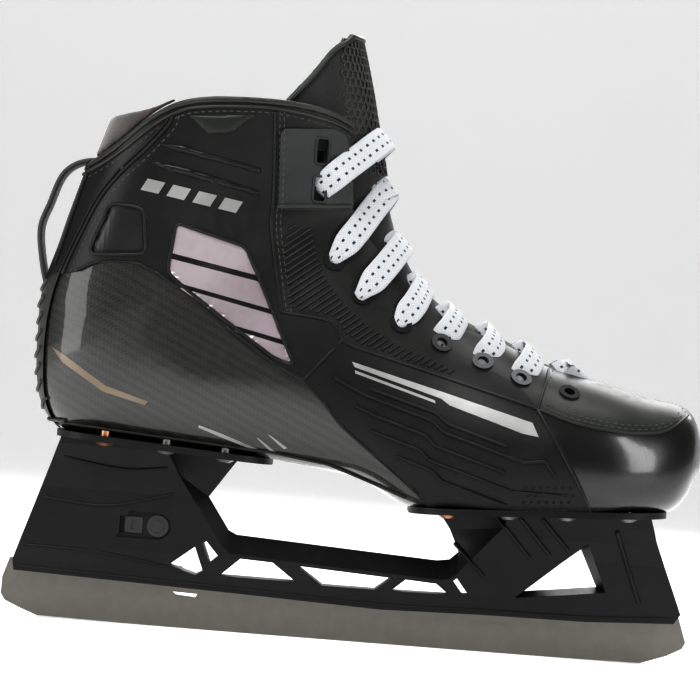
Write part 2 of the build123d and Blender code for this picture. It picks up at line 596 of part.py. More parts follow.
def plate(line, x_from, x_to, half_width, corner):
    """Flange under a seat line, with rounded corners seen from above."""
    plan = Face.make_rect(x_to - x_from, 2 * half_width)
    plan = plan.fillet_2d(corner, plan.vertices()).moved(Location(((x_from + x_to) / 2, 0, 30)))
    slab_points = [(x, height(line, x) - drop) for x, drop in
                   ((x_from - 5, 0), (x_to + 5, 0), (x_to + 5, FLANGE), (x_from - 5, FLANGE))]
    return Solid.extrude(plan, Vector(0, 0, 80)) & prism(polygon(slab_points))


towers = prism(polygon(holder_side), -40, 40)
rear_body = towers & lengthwise(REAR_PROFILE, -160, 0)
front_body = towers & lengthwise(FRONT_PROFILE, 0, 160)
holder = cut(rear_body + front_body, bevelled(WINDOW_NEAR, WINDOW_MID),
             bevelled(TOE_WINDOW_NEAR, TOE_WINDOW_MID),
             *[prism(polygon(outline)) for outline in TRUSS_WINDOWS])
over_sole = prism(polygon([(-175, height(HEEL_SEAT, -175)), HEEL_SEAT[1], (-37, 75), (26, 55),
                           TOE_SEAT[0],
                           (180, height(TOE_SEAT, 180)), (180, 120), (-175, 120)]))
holder = holder - over_sole
holder = holder + plate(HEEL_SEAT, -135.5, -37.2, REAR_FLANGE_HALF, 20)
holder = holder + plate(TOE_SEAT, 25.7, 141.8, FRONT_FLANGE_HALF, 24)
holder = max(holder.solids(), key=lambda solid: solid.volume)

slot_y = (-STEEL / 2 - STEEL_GAP, STEEL / 2 + STEEL_GAP)
nose = PIVOT[0]
tang_room = box((TANG_X - TANG_HALF - 1.8, TANG_X + TANG_HALF + 0.4), slot_y, (10, TANG_TOP + 0.4))
slots = [
    box((-160, nose), slot_y, (0, SLOT_TOP)),
    prism(polygon([(-160, 0), (-160, 27), (-151.0, 27), (-148.0, SLOT_TOP), (-148, 0)]), *slot_y),
    box((nose - 9.5, 160), slot_y, (0, 24.6)),
    rod(*PIVOT, PIVOT_R + PIVOT_GAP, *slot_y),
    tang_room,
]
clip_low, clip_high = NOTCH[0] + CLIP_GAP, NOTCH[1] - CLIP_GAP
clip_out = TANG_HALF - NOTCH_DEPTH
clip_reach = clip_out + CLIP_WALL
clip_room = box((TANG_X - clip_reach - 0.3, TANG_X + clip_reach + 0.3), (-2.3, CLIP_OUTER_Y + 0.3),
                (NOTCH[0] - CLIP_GAP, NOTCH[1] + CLIP_GAP))
face_y = -RECESS_Y - BUTTON_PROUD
button_back = face_y + BUTTON_DEPTH
button_bore = rod(TANG_X, BUTTON_Z, BUTTON_R + BUTTON_GAP, -30, button_back + BUTTON_TRAVEL + 0.1)
recess_low, recess_high = BUTTON_Z - 6.0, BUTTON_Z + 6.0
recess = prism(polygon([(-104.8, recess_low), (-99.8, recess_high), (TANG_X, recess_high),
                        (TANG_X, recess_low)]), -30, -RECESS_Y)
recess = recess + rod(TANG_X, BUTTON_Z, 6.0, -30, -RECESS_Y)
(slider_rear, slider_front), (slider_low, slider_high) = SLIDER
slider_room = box((slider_rear - SLIDER_TRAVEL - SLIDER_FREE, slider_front + SLIDER_FREE), (-12, -6.0),
                  (slider_low - SLIDER_FREE, slider_high + SLIDER_FREE))
holder = cut(holder, *slots, clip_room, button_bore, recess, slider_room)

# ---------------------------------------------------------------- latch
clip = cut(box((TANG_X - clip_reach, TANG_X + clip_reach), (-2.0, CLIP_OUTER_Y), (clip_low, clip_high)),
           box((TANG_X - clip_out, TANG_X + clip_out), (-3.0, CLIP_INNER_Y), (clip_low - 1, clip_high + 1)))
button = (rod(TANG_X, BUTTON_Z, BUTTON_R, face_y, button_back)
          - rod(TANG_X, BUTTON_Z, BUTTON_R - BUTTON_WALL, face_y + 1.7, button_back + 1))
groove_in, groove_out = BUTTON_RING
button = button - (rod(TANG_X, BUTTON_Z, groove_out, face_y - 1, face_y + 0.3)
                   - rod(TANG_X, BUTTON_Z, groove_in, face_y - 1, face_y + 0.3))
slider = box((slider_rear, slider_front), (-RECESS_Y - 0.6, -6.1), (slider_low, slider_high))
slider = slider - box((slider_rear + 3.0, slider_rear + 5.2), (-12, -RECESS_Y - 0.1),
                      (slider_low + 1.7, slider_high - 1.7))
coil_pitch, coil_height = SPRING_COIL
coil_path = Edge.make_helix(pitch=coil_pitch, height=coil_height, radius=SPRING_R,
                            center=(TANG_X, -6.6, BUTTON_Z), normal=(0, 1, 0))
coil_section = Face(Wire.make_circle(SPRING_WIRE / 2, Plane(coil_path @ 0, z_dir=coil_path % 0)))
coil = Solid.sweep(coil_section, coil_path, is_frenet=True)

# ---------------------------------------------------------------- rivets


def seat_plane(line, x, y):
    (x0, z0), (x1, z1) = line
    run = math.hypot(x1 - x0, z1 - z0)
    return Plane((x, y, height(line, x)), x_dir=((x1 - x0) / run, 0, (z1 - z0) / run),
                 z_dir=(-(z1 - z0) / run, 0, (x1 - x0) / run))


def rivet(line, x, y):
    """Shank from under the flange to the shell's floor, with a domed head below."""
    plane = seat_plane(line, x, y)
    foot = plane.offset(-FLANGE - RIVET_HEAD)
    shank = Solid.make_cylinder(RIVET_R, FLANGE + SHELL + RIVET_HEAD, foot)
    head = Solid.make_cone(RIVET_HEAD_R * 0.55, RIVET_HEAD_R, RIVET_HEAD, foot)
    return shank + head, shank


rivets = {"copper": [], "steel": []}
shanks = []
for line, places, half_width in ((HEEL_SEAT, REAR_RIVETS, REAR_FLANGE_HALF),
                                 (TOE_SEAT, FRONT_RIVETS, FRONT_FLANGE_HALF)):
    for x in places:
        for side in SIDES.values():
            body, shank = rivet(line, x, side * (half_width - RIVET_INSET))
            rivets["copper" if x == places[0] else "steel"].append(body)
            shanks.append(shank)
holder, shell, footbed, wraps, toe_cap = (cut(piece, *shanks)
                                          for piece in (holder, shell, footbed, wraps, toe_cap))

# ---------------------------------------------------------------- nodes
add("boot_shell", shell)
add("lining", lining)
add("footbed", footbed)
add("heel_stay", heel_stay)
add("achilles_band", achilles_band)
add("toe_cap", toe_cap)
add("vamp", vamp)
for name, side in SIDES.items():
    for label, pair in (("quarter", quarters), ("window_insert", inserts), ("facing", facings),
                        ("forefoot_wrap", wraps), ("ankle_tab", tabs)):
        add(f"{label}_{name}", pair & half(side))
    add(f"eyelets_{name}", *eyelets[name])
add("collar_binding", binding)
add("tongue_base", tongue_base)
add("tongue_top", tongue_top)
add("tendon_guard", guard)
add("heel_loop", loop)
add("laces", laces)
add("blade_holder", holder)
add("runner", runner)
add("latch_clip", clip)
add("release_button", button)
add("button_spring", coil)
add("lock_slider", slider)
add("copper_rivets", *rivets["copper"])
add("steel_rivets", *rivets["steel"])

os.makedirs("parts", exist_ok=True)
for name, shape in parts.items():
    export_step(shape, f"parts/{name}.step")
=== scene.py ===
"""Goalkeeper's ice skate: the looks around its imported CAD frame, in metres, with +X to the toe."""
import math

import bmesh
import bpy
import numpy as np
from mathutils import Matrix, Vector
from mathutils.bvhtree import BVHTree


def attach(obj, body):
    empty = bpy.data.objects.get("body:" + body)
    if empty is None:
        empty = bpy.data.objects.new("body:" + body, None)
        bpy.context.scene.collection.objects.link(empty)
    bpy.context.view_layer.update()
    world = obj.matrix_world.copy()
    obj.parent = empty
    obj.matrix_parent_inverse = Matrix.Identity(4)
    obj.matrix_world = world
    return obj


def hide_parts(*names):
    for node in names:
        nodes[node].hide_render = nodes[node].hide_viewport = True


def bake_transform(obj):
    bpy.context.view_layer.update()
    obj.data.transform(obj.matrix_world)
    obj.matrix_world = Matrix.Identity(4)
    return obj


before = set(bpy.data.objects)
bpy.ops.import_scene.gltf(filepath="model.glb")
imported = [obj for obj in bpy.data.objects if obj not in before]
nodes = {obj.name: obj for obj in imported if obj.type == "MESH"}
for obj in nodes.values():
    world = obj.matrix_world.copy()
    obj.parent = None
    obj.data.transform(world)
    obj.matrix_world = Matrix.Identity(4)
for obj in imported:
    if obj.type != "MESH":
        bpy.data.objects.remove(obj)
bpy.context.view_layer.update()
MM = 0.001
SIDES = {"lateral": -1, "medial": 1}

# ---------------------------------------------------------------- camera, light and floor
CAMERA_ROLL = math.radians(4.5)
CAMERA_AIM = Vector((-6.2, 0.0, 132.0)) * MM
CAMERA_FAR = 1.5
SEEN_WIDTH = 0.3185
VIEW_GAMMA = 0.76           # below 1 deepens the dark plastics and leaves white alone


def studio():
    """Camera square to the skate's outer side, soft lights and a dim white world; the pale floor and backdrop
    come from floor_and_backdrop.
    """
    scene = bpy.context.scene
    camera = bpy.data.objects.new("camera", bpy.data.cameras.new("camera"))
    camera.data.angle = 2 * math.atan(SEEN_WIDTH / 2 / CAMERA_FAR)
    camera.data.clip_start = 0.05
    c, s = math.cos(CAMERA_ROLL), math.sin(CAMERA_ROLL)
    turn = Matrix(((c, -s, 0), (0, 0, -1), (s, c, 0))).to_4x4()
    camera.matrix_world = Matrix.Translation(CAMERA_AIM - Vector((0, CAMERA_FAR, 0))) @ turn
    scene.collection.objects.link(camera)
    scene.camera = camera
    world = bpy.data.worlds.new("studio")
    world.use_nodes = True
    world.node_tree.nodes["Background"].inputs["Color"].default_value = (1, 1, 1, 1)
    world.node_tree.nodes["Background"].inputs["Strength"].default_value = 0.17
    scene.world = world
    scene.view_settings.view_transform = "Standard"
    scene.view_settings.gamma = VIEW_GAMMA
    lights = (
        ("key_softbox", (-0.30, -0.80, 1.00), (0.80, 0.45), 13.0),
        ("front_strip", (0.80, -0.55, 0.45), (0.14, 0.80), 4.0),
        ("rear_strip", (-0.95, -0.35, 0.35), (0.45, 0.80), 4.0),
        ("top_softbox", (0.05, 0.15, 1.10), (1.00, 0.45), 9.0),
        ("back_softbox", (0.30, 0.95, 0.70), (0.80, 0.40), 8.0),
    )
    for name, place, size, power in lights:
        lamp = bpy.data.lights.new(name, "AREA")
        lamp.shape = "RECTANGLE"
        lamp.size, lamp.size_y = size
        lamp.energy = power
        holder = bpy.data.objects.new(name, lamp)
        away = Vector(place) - Vector((0, 0, 0.12))
        holder.matrix_world = Matrix.Translation(place) @ away.to_track_quat("Z", "Y").to_matrix().to_4x4()
        scene.collection.objects.link(holder)


FLOOR_HALF = 2.5
SWEEP = 0.8


def floor_and_backdrop():
    """One pale sheet: a floor that curves up into a wall behind the skate."""
    rows = [(-FLOOR_HALF, 0.0), (FLOOR_HALF - SWEEP, 0.0)]
    rows += [(FLOOR_HALF - SWEEP + SWEEP * math.sin(a), SWEEP - SWEEP * math.cos(a))
             for a in np.linspace(0, math.pi / 2, 13)[1:]]
    rows.append((FLOOR_HALF, FLOOR_HALF))
    corners = [(x, y, z) for y, z in rows for x in (-FLOOR_HALF, FLOOR_HALF)]
    faces = [(2 * k, 2 * k + 1, 2 * k + 3, 2 * k + 2) for k in range(len(rows) - 1)]
    piece = mesh_piece("studio_floor", corners, faces, STUDIO_WHITE)


# ---------------------------------------------------------------- shader groups
class Nodes:
    """Short ways to add, set and join shader nodes."""

    def __init__(self, tree):
        self.tree = tree

    def add(self, kind, settings=None, **inputs):
        node = self.tree.nodes.new(kind)
        for key, value in (settings or {}).items():
            setattr(node, key, value)
        for key, value in inputs.items():
            self.feed(node.inputs[key.replace("_", " ")], value)
        return node

    def feed(self, socket, value):
        if isinstance(value, bpy.types.NodeSocket):
            self.tree.links.new(value, socket)
        elif value is not None:
            socket.default_value = value

    def math(self, operation, a, b=0.0, c=0.0):
        node = self.tree.nodes.new("ShaderNodeMath")
        node.operation = operation
        for socket, value in zip(node.inputs, (a, b, c)):
            self.feed(socket, value)
        return node.outputs[0]

    def ramp(self, value, low, high):
        node = self.add("ShaderNodeMapRange", {"interpolation_type": "SMOOTHSTEP"})
        self.feed(node.inputs["Value"], value)
        node.inputs["From Min"].default_value = low
        node.inputs["From Max"].default_value = high
        return node.outputs["Result"]

    def mix(self, factor, a, b):
        node = self.add("ShaderNodeMix", {"data_type": "RGBA"})
        for index, value in ((0, factor), (6, a), (7, b)):
            self.feed(node.inputs[index], value)
        return node.outputs[2]


def pattern_group(name, draw):
    """Shader group with a Vector and a Scale in, and a Height and a Mask out."""
    tree = bpy.data.node_groups.new(name, "ShaderNodeTree")
    tree.interface.new_socket("Vector", in_out="INPUT", socket_type="NodeSocketVector")
    tree.interface.new_socket("Scale", in_out="INPUT", socket_type="NodeSocketFloat")
    tree.interface.new_socket("Height", in_out="OUTPUT", socket_type="NodeSocketFloat")
    tree.interface.new_socket("Mask", in_out="OUTPUT", socket_type="NodeSocketFloat")
    nodes_of = Nodes(tree)
    start = nodes_of.add("NodeGroupInput")
    scaled = nodes_of.add("ShaderNodeVectorMath", {"operation": "SCALE"})
    nodes_of.feed(scaled.inputs[0], start.outputs["Vector"])
    nodes_of.feed(scaled.inputs["Scale"], start.outputs["Scale"])
    height, mask = draw(nodes_of, scaled.outputs[0])
    end = nodes_of.add("NodeGroupOutput")
    nodes_of.feed(end.inputs["Height"], height)
    nodes_of.feed(end.inputs["Mask"], mask)
    return tree


def draw_grain(n, place):
    """Pebbled leather and moulded grain."""
    cells = n.add("ShaderNodeTexVoronoi", {"feature": "SMOOTH_F1"}, Vector=place, Scale=1.0)
    fine = n.add("ShaderNodeTexNoise", Vector=place, Scale=2.6, Detail=3.0)
    broad = n.add("ShaderNodeTexNoise", Vector=place, Scale=0.05, Detail=2.0)
    height = n.math("ADD", n.math("MULTIPLY", cells.outputs["Distance"], 0.7),
                    n.math("MULTIPLY", fine.outputs["Fac"], 0.45))
    return height, n.ramp(broad.outputs["Fac"], 0.35, 0.65)


def draw_weave(n, place):
    """Plain weave: warp and weft threads pass over each other in turn, one thread per unit."""
    parts = n.add("ShaderNodeSeparateXYZ", Vector=place)
    x, y = parts.outputs["X"], parts.outputs["Y"]
    turn = n.math("MODULO", n.math("ABSOLUTE", n.math("ADD", n.math("FLOOR", x), n.math("FLOOR", y))), 2.0)
    over = n.math("GREATER_THAN", turn, 0.5)
    crown_x = n.math("ABSOLUTE", n.math("SINE", n.math("MULTIPLY", x, math.pi)))
    crown_y = n.math("ABSOLUTE", n.math("SINE", n.math("MULTIPLY", y, math.pi)))
    warp = n.math("MULTIPLY", crown_x, over)
    weft = n.math("MULTIPLY", crown_y, n.math("SUBTRACT", 1.0, over))
    return n.math("ADD", warp, weft), over


def draw_twill(n, place):
    """Two-by-two twill of flat fibre tows, drawn in the skate's side plane, one tow per unit."""
    parts = n.add("ShaderNodeSeparateXYZ", Vector=place)
    x, z = parts.outputs["X"], parts.outputs["Z"]
    u = n.math("ADD", n.math("MULTIPLY", x, 0.94), n.math("MULTIPLY", z, 0.34))
    w = n.math("SUBTRACT", n.math("MULTIPLY", z, 0.94), n.math("MULTIPLY", x, 0.34))
    step = n.math("ADD", n.math("FLOOR", u), n.math("FLOOR", w))
    turn = n.math("MODULO", n.math("ADD", step, 4000.0), 4.0)
    over = n.math("LESS_THAN", turn, 1.5)
    crown_u = n.math("ABSOLUTE", n.math("SINE", n.math("MULTIPLY", u, math.pi)))
    crown_w = n.math("ABSOLUTE", n.math("SINE", n.math("MULTIPLY", w, math.pi)))
    warp = n.math("MULTIPLY", crown_u, over)
    weft = n.math("MULTIPLY", crown_w, n.math("SUBTRACT", 1.0, over))
    return n.math("ADD", warp, weft), over


def draw_brushed(n, place):
    """Long fine scratches along X from grinding."""
    stretched = n.add("ShaderNodeVectorMath", {"operation": "MULTIPLY"})
    n.feed(stretched.inputs[0], place)
    stretched.inputs[1].default_value = (0.02, 1.0, 1.0)
    fine = n.add("ShaderNodeTexNoise", Vector=stretched.outputs[0], Scale=1.0, Detail=5.0)
    broad = n.add("ShaderNodeTexNoise", Vector=place, Scale=0.02, Detail=2.0)
    return fine.outputs["Fac"], n.ramp(broad.outputs["Fac"], 0.3, 0.7)


def draw_felt(n, place):
    """Short matted fibres."""
    first = n.add("ShaderNodeTexNoise", Vector=place, Scale=1.0, Detail=6.0, Roughness=0.75)
    second = n.add("ShaderNodeTexVoronoi", Vector=place, Scale=0.6)
    height = n.math("ADD", first.outputs["Fac"], n.math("MULTIPLY", second.outputs["Distance"], 0.4))
    return height, n.ramp(first.outputs["Fac"], 0.42, 0.62)


def draw_dust(n, place):
    """Faint uneven patches where hands and dust have dulled a surface."""
    broad = n.add("ShaderNodeTexNoise", Vector=place, Scale=1.0, Detail=4.0, Roughness=0.6)
    specks = n.add("ShaderNodeTexNoise", Vector=place, Scale=14.0, Detail=2.0)
    mask = n.math("MULTIPLY", n.ramp(broad.outputs["Fac"], 0.40, 0.72),
                  n.ramp(specks.outputs["Fac"], 0.30, 0.75))
    return specks.outputs["Fac"], mask


PATTERNS = {name: pattern_group(name, draw) for name, draw in (
    ("grain", draw_grain), ("weave", draw_weave), ("twill", draw_twill),
    ("brushed", draw_brushed), ("felt", draw_felt), ("dust", draw_dust))}
DUST_SCALE = 22.0


def finish_of(name, colour, other, rough, pattern, scale, bump, depth=0.0002, vector="Object",
              dull=0.12, dust=0.25, **shader):
    """Material with a pattern's relief and two colours, and dust that dulls it in patches."""
    material = bpy.data.materials.new(name)
    material.use_nodes = True
    n = Nodes(material.node_tree)
    bsdf = material.node_tree.nodes["Principled BSDF"]
    for key, value in shader.items():
        bsdf.inputs[key.replace("_", " ")].default_value = value
    place = n.add("ShaderNodeTexCoord").outputs[vector]
    relief = n.add("ShaderNodeGroup", {"node_tree": PATTERNS[pattern]}, Vector=place, Scale=scale)
    dirt = n.add("ShaderNodeGroup", {"node_tree": PATTERNS["dust"]}, Scale=DUST_SCALE)
    n.feed(dirt.inputs["Vector"], n.add("ShaderNodeTexCoord").outputs["Object"])
    base = n.mix(relief.outputs["Mask"], (*colour, 1), (*other, 1))
    pale = [min(1.0, c * 1.25 + 0.012) for c in colour]
    n.feed(bsdf.inputs["Base Color"], n.mix(n.math("MULTIPLY", dirt.outputs["Mask"], dust), base, (*pale, 1)))
    n.feed(bsdf.inputs["Roughness"], n.math("MULTIPLY_ADD", dirt.outputs["Mask"], dull, rough))
    raised = n.add("ShaderNodeBump", Strength=bump, Distance=depth)
    n.feed(raised.inputs["Height"], relief.outputs["Height"])
    n.feed(bsdf.inputs["Normal"], raised.outputs["Normal"])
    return material


def grey(value, warm=0.0):
    return (value * (1 + warm), value, value * (1 - warm))


STUDIO_WHITE = finish_of("studio_white", grey(0.86), grey(0.87), 0.85, "grain", 300.0, 0.02, dust=0.0,
                         Emission_Color=(1, 1, 1, 1), Emission_Strength=0.38)
CARBON = finish_of("carbon_composite", (0.005, 0.0054, 0.004), (0.014, 0.015, 0.011), 0.40, "twill", 760.0,
                   0.2, 0.0003, Coat_Weight=1.0, Coat_Roughness=0.06)
BLACK_TPU = finish_of("black_tpu", grey(0.009), grey(0.012), 0.34, "grain", 1400.0, 0.10,
                      Specular_IOR_Level=0.32)
POCKET_GLOSS = finish_of("pocket_gloss", grey(0.020), grey(0.026), 0.20, "grain", 900.0, 0.03)
GREY_TPU = finish_of("grey_tpu", (0.026, 0.028, 0.024), (0.034, 0.036, 0.031), 0.44, "grain", 1200.0, 0.12)
TOE_PLASTIC = finish_of("toe_plastic", grey(0.006), grey(0.008), 0.26, "grain", 500.0, 0.03,
                        Coat_Weight=0.5, Coat_Roughness=0.10)
VAMP_LEATHER = finish_of("vamp_leather", (0.014, 0.016, 0.013), (0.019, 0.021, 0.017), 0.40, "grain", 1500.0,
                         0.18, Specular_IOR_Level=0.35)
BINDING = finish_of("binding_leather", (0.017, 0.019, 0.015), (0.024, 0.026, 0.021), 0.42, "grain", 1300.0,
                    0.3)
FACING = finish_of("facing_rubber", grey(0.008, 0.04), grey(0.011, 0.04), 0.40, "grain", 1600.0, 0.15,
                   Specular_IOR_Level=0.32)
WRAP = finish_of("wrap_rubber", grey(0.006), grey(0.008), 0.44, "grain", 1800.0, 0.15,
                 Specular_IOR_Level=0.28)
TAB = finish_of("tab_rubber", (0.017, 0.020, 0.019), (0.024, 0.027, 0.025), 0.50, "grain", 1100.0, 0.5)
SILVER = finish_of("silver_foil", (0.27, 0.27, 0.265), (0.33, 0.33, 0.32), 0.42, "grain", 900.0, 0.05,
                   dust=0.1, Metallic=0.35)
PINK_SILVER = finish_of("pink_silver_foil", (0.34, 0.29, 0.31), (0.44, 0.39, 0.41), 0.34, "grain", 160.0,
                        0.03, dust=0.1, Metallic=0.5)
BROWN_STRIPE = finish_of("bronze_stripe", (0.15, 0.11, 0.07), (0.19, 0.15, 0.11), 0.4, "grain", 600.0, 0.05,
                         Metallic=0.5, Coat_Weight=0.8)
GLOSS_BLACK = finish_of("gloss_black", grey(0.006), grey(0.008), 0.12, "grain", 400.0, 0.02,
                        Coat_Weight=0.6, Coat_Roughness=0.05)
STITCH = finish_of("stitch_thread", grey(0.055), grey(0.075), 0.62, "weave", 3500.0, 0.4)
FELT = finish_of("tongue_felt", grey(0.013), grey(0.022), 0.85, "felt", 1300.0, 0.5, 0.0003,
                 Sheen_Weight=0.3, Sheen_Roughness=0.5)
PAD_FELT = finish_of("pad_felt", (0.046, 0.038, 0.034), (0.062, 0.053, 0.048), 0.88, "felt", 1100.0,
                     0.5, 0.0003,
                     Sheen_Weight=0.4, Sheen_Roughness=0.5)
LINING = finish_of("lining_fabric", grey(0.030), grey(0.045), 0.85, "felt", 1500.0, 0.4, Sheen_Weight=0.3)
FOOTBED = finish_of("footbed_foam", grey(0.05), grey(0.07), 0.8, "felt", 900.0, 0.4)
MESH_RUBBER = finish_of("mesh_rubber", (0.030, 0.032, 0.027), (0.040, 0.043, 0.036), 0.40, "grain", 1500.0,
                        0.2)
WEBBING = finish_of("webbing", grey(0.028), grey(0.045), 0.6, "weave", 900.0, 0.7, 0.0003, vector="UV",
                    Sheen_Weight=0.2)
HOLDER = finish_of("holder_nylon", grey(0.006), grey(0.008), 0.40, "grain", 1500.0, 0.16,
                   Specular_IOR_Level=0.30)
STEEL = finish_of("runner_steel", (0.20, 0.193, 0.172), (0.215, 0.208, 0.187), 0.36, "brushed", 9000.0, 0.12,
                  0.00005, Metallic=1.0)
SPRING_STEEL = finish_of("spring_steel", grey(0.42), grey(0.48), 0.3, "brushed", 6000.0, 0.1, 0.00005,
                         Metallic=1.0)
COPPER = finish_of("copper", (0.76, 0.36, 0.20), (0.82, 0.42, 0.25), 0.28, "brushed", 3000.0, 0.1, 0.00005,
                   Metallic=1.0)
RIVET_STEEL = finish_of("rivet_steel", grey(0.30), grey(0.36), 0.38, "brushed", 3000.0, 0.1, 0.00005,
                        Metallic=1.0)
EYELET_METAL = finish_of("eyelet_metal", grey(0.014), grey(0.02), 0.24, "grain", 700.0, 0.05, Metallic=0.3)
BUTTON = finish_of("button_plastic", grey(0.024), grey(0.03), 0.35, "grain", 1500.0, 0.1)


def lace_material():
    """White flat-woven cotton with two rows of black tracer dots, on the lace's own UV map."""
    material = finish_of("lace_cotton", (0.46, 0.48, 0.50), (0.58, 0.59, 0.61), 0.8, "weave", 1700.0, 0.6,
                         0.0003, vector="UV", dust=0.0, Sheen_Weight=0.25)
    n = Nodes(material.node_tree)
    bsdf = material.node_tree.nodes["Principled BSDF"]
    cloth = bsdf.inputs["Base Color"].links[0].from_socket
    parts = n.add("ShaderNodeSeparateXYZ", Vector=n.add("ShaderNodeTexCoord").outputs["UV"])
    along, across = parts.outputs["X"], parts.outputs["Y"]
    dots = None
    for row, shift in ((-DOT_ROW, 0.0), (DOT_ROW, 0.5)):
        turn = n.math("FRACT", n.math("MULTIPLY_ADD", along, 1 / DOT_PITCH, shift))
        dx = n.math("MULTIPLY", n.math("SUBTRACT", turn, 0.5), DOT_PITCH)
        dy = n.math("SUBTRACT", across, row)
        far = n.math("MAXIMUM", n.math("MULTIPLY", n.math("ABSOLUTE", dx), 0.8), n.math("ABSOLUTE", dy))
        dot = n.math("LESS_THAN", far, DOT_SIZE)
        dots = dot if dots is None else n.math("MAXIMUM", dots, dot)
    n.feed(bsdf.inputs["Base Color"], n.mix(dots, cloth, (0.012, 0.012, 0.012, 1)))
    return material


DOT_PITCH = 0.0046
DOT_ROW = 0.0022
DOT_SIZE = 0.0006
LACE_COTTON = lace_material()


# ---------------------------------------------------------------- meshes
def mesh_piece(name, corners, faces, material, edges=(), smooth=True):
    mesh = bpy.data.meshes.new(name)
    mesh.from_pydata([tuple(c) for c in corners], list(edges), faces)
    mesh.materials.append(material)
    mesh.polygons.foreach_set("use_smooth", [smooth] * len(mesh.polygons))
    mesh.update()
    piece = bpy.data.objects.new(name, mesh)
    bpy.context.scene.collection.objects.link(piece)
    return piece


def realised(piece):
    """The piece with its modifiers turned into plain mesh."""
    bpy.context.view_layer.update()
    mesh = bpy.data.meshes.new_from_object(piece.evaluated_get(bpy.context.evaluated_depsgraph_get()))
    piece.modifiers.clear()
    piece.data = mesh
    return piece


def on_boot(piece, slot, *replaced, body="boot"):
    """The piece rides on a body and may stand for CAD nodes; its slot is not used."""
    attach(piece, body)
    if replaced:
        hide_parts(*replaced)
    return piece


def tree_of(names):
    """Ray-cast tree over some CAD nodes."""
    corners, faces = [], []
    for name in names:
        mesh = nodes[name].data
        start = len(corners)
        corners += [v.co.copy() for v in mesh.vertices]
        faces += [[start + i for i in p.vertices] for p in mesh.polygons]
    return BVHTree.FromPolygons(corners, faces)


PANELS = ["boot_shell", "heel_stay", "achilles_band", "toe_cap", "vamp"]
PANELS += [f"{panel}_{side}" for side in SIDES
           for panel in ("quarter", "window_insert", "facing", "forefoot_wrap", "ankle_tab")]
skin = tree_of(PANELS)
instep_skin = tree_of(PANELS + ["tongue_base", "tongue_top", "collar_binding"])
OUTSIDE = 0.12


def on_side(x, z, side, tree=skin):
    """Point and outward normal on the skate's side over a side-view point, or None past its edge."""
    spot, normal, _, _ = tree.ray_cast(Vector((x * MM, side * OUTSIDE, z * MM)), Vector((0, -side, 0)))
    if spot is None or spot.y * side < -0.02:
        return None
    return spot, (normal if normal.y * side > 0 else -normal)


def smooth_run(points, closed=False, steps=10):
    """Catmull-Rom curve through side-view points."""
    points = [Vector(p) for p in points]
    count = len(points)
    if count < 3:
        return points
    run = []
    for k in range(count if closed else count - 1):
        a, b, c, d = (points[(k + j) % count] if closed else points[min(max(k + j, 0), count - 1)]
                      for j in (-1, 0, 1, 2))
        for t in np.linspace(0, 1, steps, endpoint=False):
            run.append(b + (c - a) * (t / 2) + (2 * a - 5 * b + 4 * c - d) * (t * t / 2)
                       + (3 * b - a - 3 * c + d) * (t**3 / 2))
    if not closed:
        run.append(points[-1])
    return run


def evenly(points, step, closed=False):
    """The same run of points again, a steady distance apart."""
    points = [Vector(p) for p in points]
    if closed:
        points.append(points[0])
    far = [0.0]
    for a, b in zip(points, points[1:]):
        far.append(far[-1] + (b - a).length)
    count = max(1, round(far[-1] / step))
    result = []
    for place in np.linspace(0, far[-1], count + 1)[:count if closed else count + 1]:
        k = min(max(int(np.searchsorted(far, place)) - 1, 0), len(points) - 2)
        part = (place - far[k]) / max(far[k + 1] - far[k], 1e-9)
        result.append(points[k].lerp(points[k + 1], part))
    return result


def drape(points, side, step=1.6, curved=True, closed=False, tree=skin):
    """Runs of (point, normal) on the skate's side under a side-view line in millimetres."""
    line = evenly(smooth_run(points, closed) if curved else points, step, closed)
    runs, run = [], []
    for point in line:
        found = on_side(point[0], point[1], side, tree)
        if found is None:
            runs.append(run)
            run = []
        else:
            run.append(found)
    runs.append(run)
    return [smoothed(run, closed) for run in runs if len(run) > 2]


def smoothed(run, closed=False):
    """The run with each normal averaged with its neighbours'."""
    result = []
    for k, (spot, _) in enumerate(run):
        near = [run[(k + j) % len(run)][1] if closed else run[min(max(k + j, 0), len(run) - 1)][1]
                for j in (-2, -1, 0, 1, 2)]
        result.append((spot, sum(near, Vector()).normalized()))
    return result


# ---------------------------------------------------------------- geometry-node trees
def geometry_tree(name, inputs):
    """Empty tree with Geometry in and out and the named inputs: (name, socket type, default)."""
    tree = bpy.data.node_groups.new(name, "GeometryNodeTree")
    tree.interface.new_socket("Geometry", in_out="INPUT", socket_type="NodeSocketGeometry")
    for label, kind, value in inputs:
        socket = tree.interface.new_socket(label, in_out="INPUT", socket_type=kind)
        if value is not None:
            socket.default_value = value
    tree.interface.new_socket("Geometry", in_out="OUTPUT", socket_type="NodeSocketGeometry")
    n = Nodes(tree)
    return tree, n, n.add("NodeGroupInput"), n.add("NodeGroupOutput")


def bead_tree():
    """Turns lines of points into rounded beads."""
    tree, n, start, end = geometry_tree("bead_along_lines", (
        ("Radius", "NodeSocketFloat", 0.0005), ("Sides", "NodeSocketInt", 8),
        ("Material", "NodeSocketMaterial", None)))
    lines = n.add("GeometryNodeMeshToCurve", Mesh=start.outputs["Geometry"])
    ring = n.add("GeometryNodeCurvePrimitiveCircle", Resolution=start.outputs["Sides"],
                 Radius=start.outputs["Radius"])
    swept = n.add("GeometryNodeCurveToMesh", Curve=lines.outputs["Curve"],
                  Profile_Curve=ring.outputs["Curve"], Fill_Caps=True)
    soft = n.add("GeometryNodeSetShadeSmooth", Geometry=swept.outputs["Mesh"])
    made = n.add("GeometryNodeSetMaterial", Geometry=soft.outputs[0], Material=start.outputs["Material"])
    n.feed(end.inputs["Geometry"], made.outputs["Geometry"])
    return tree


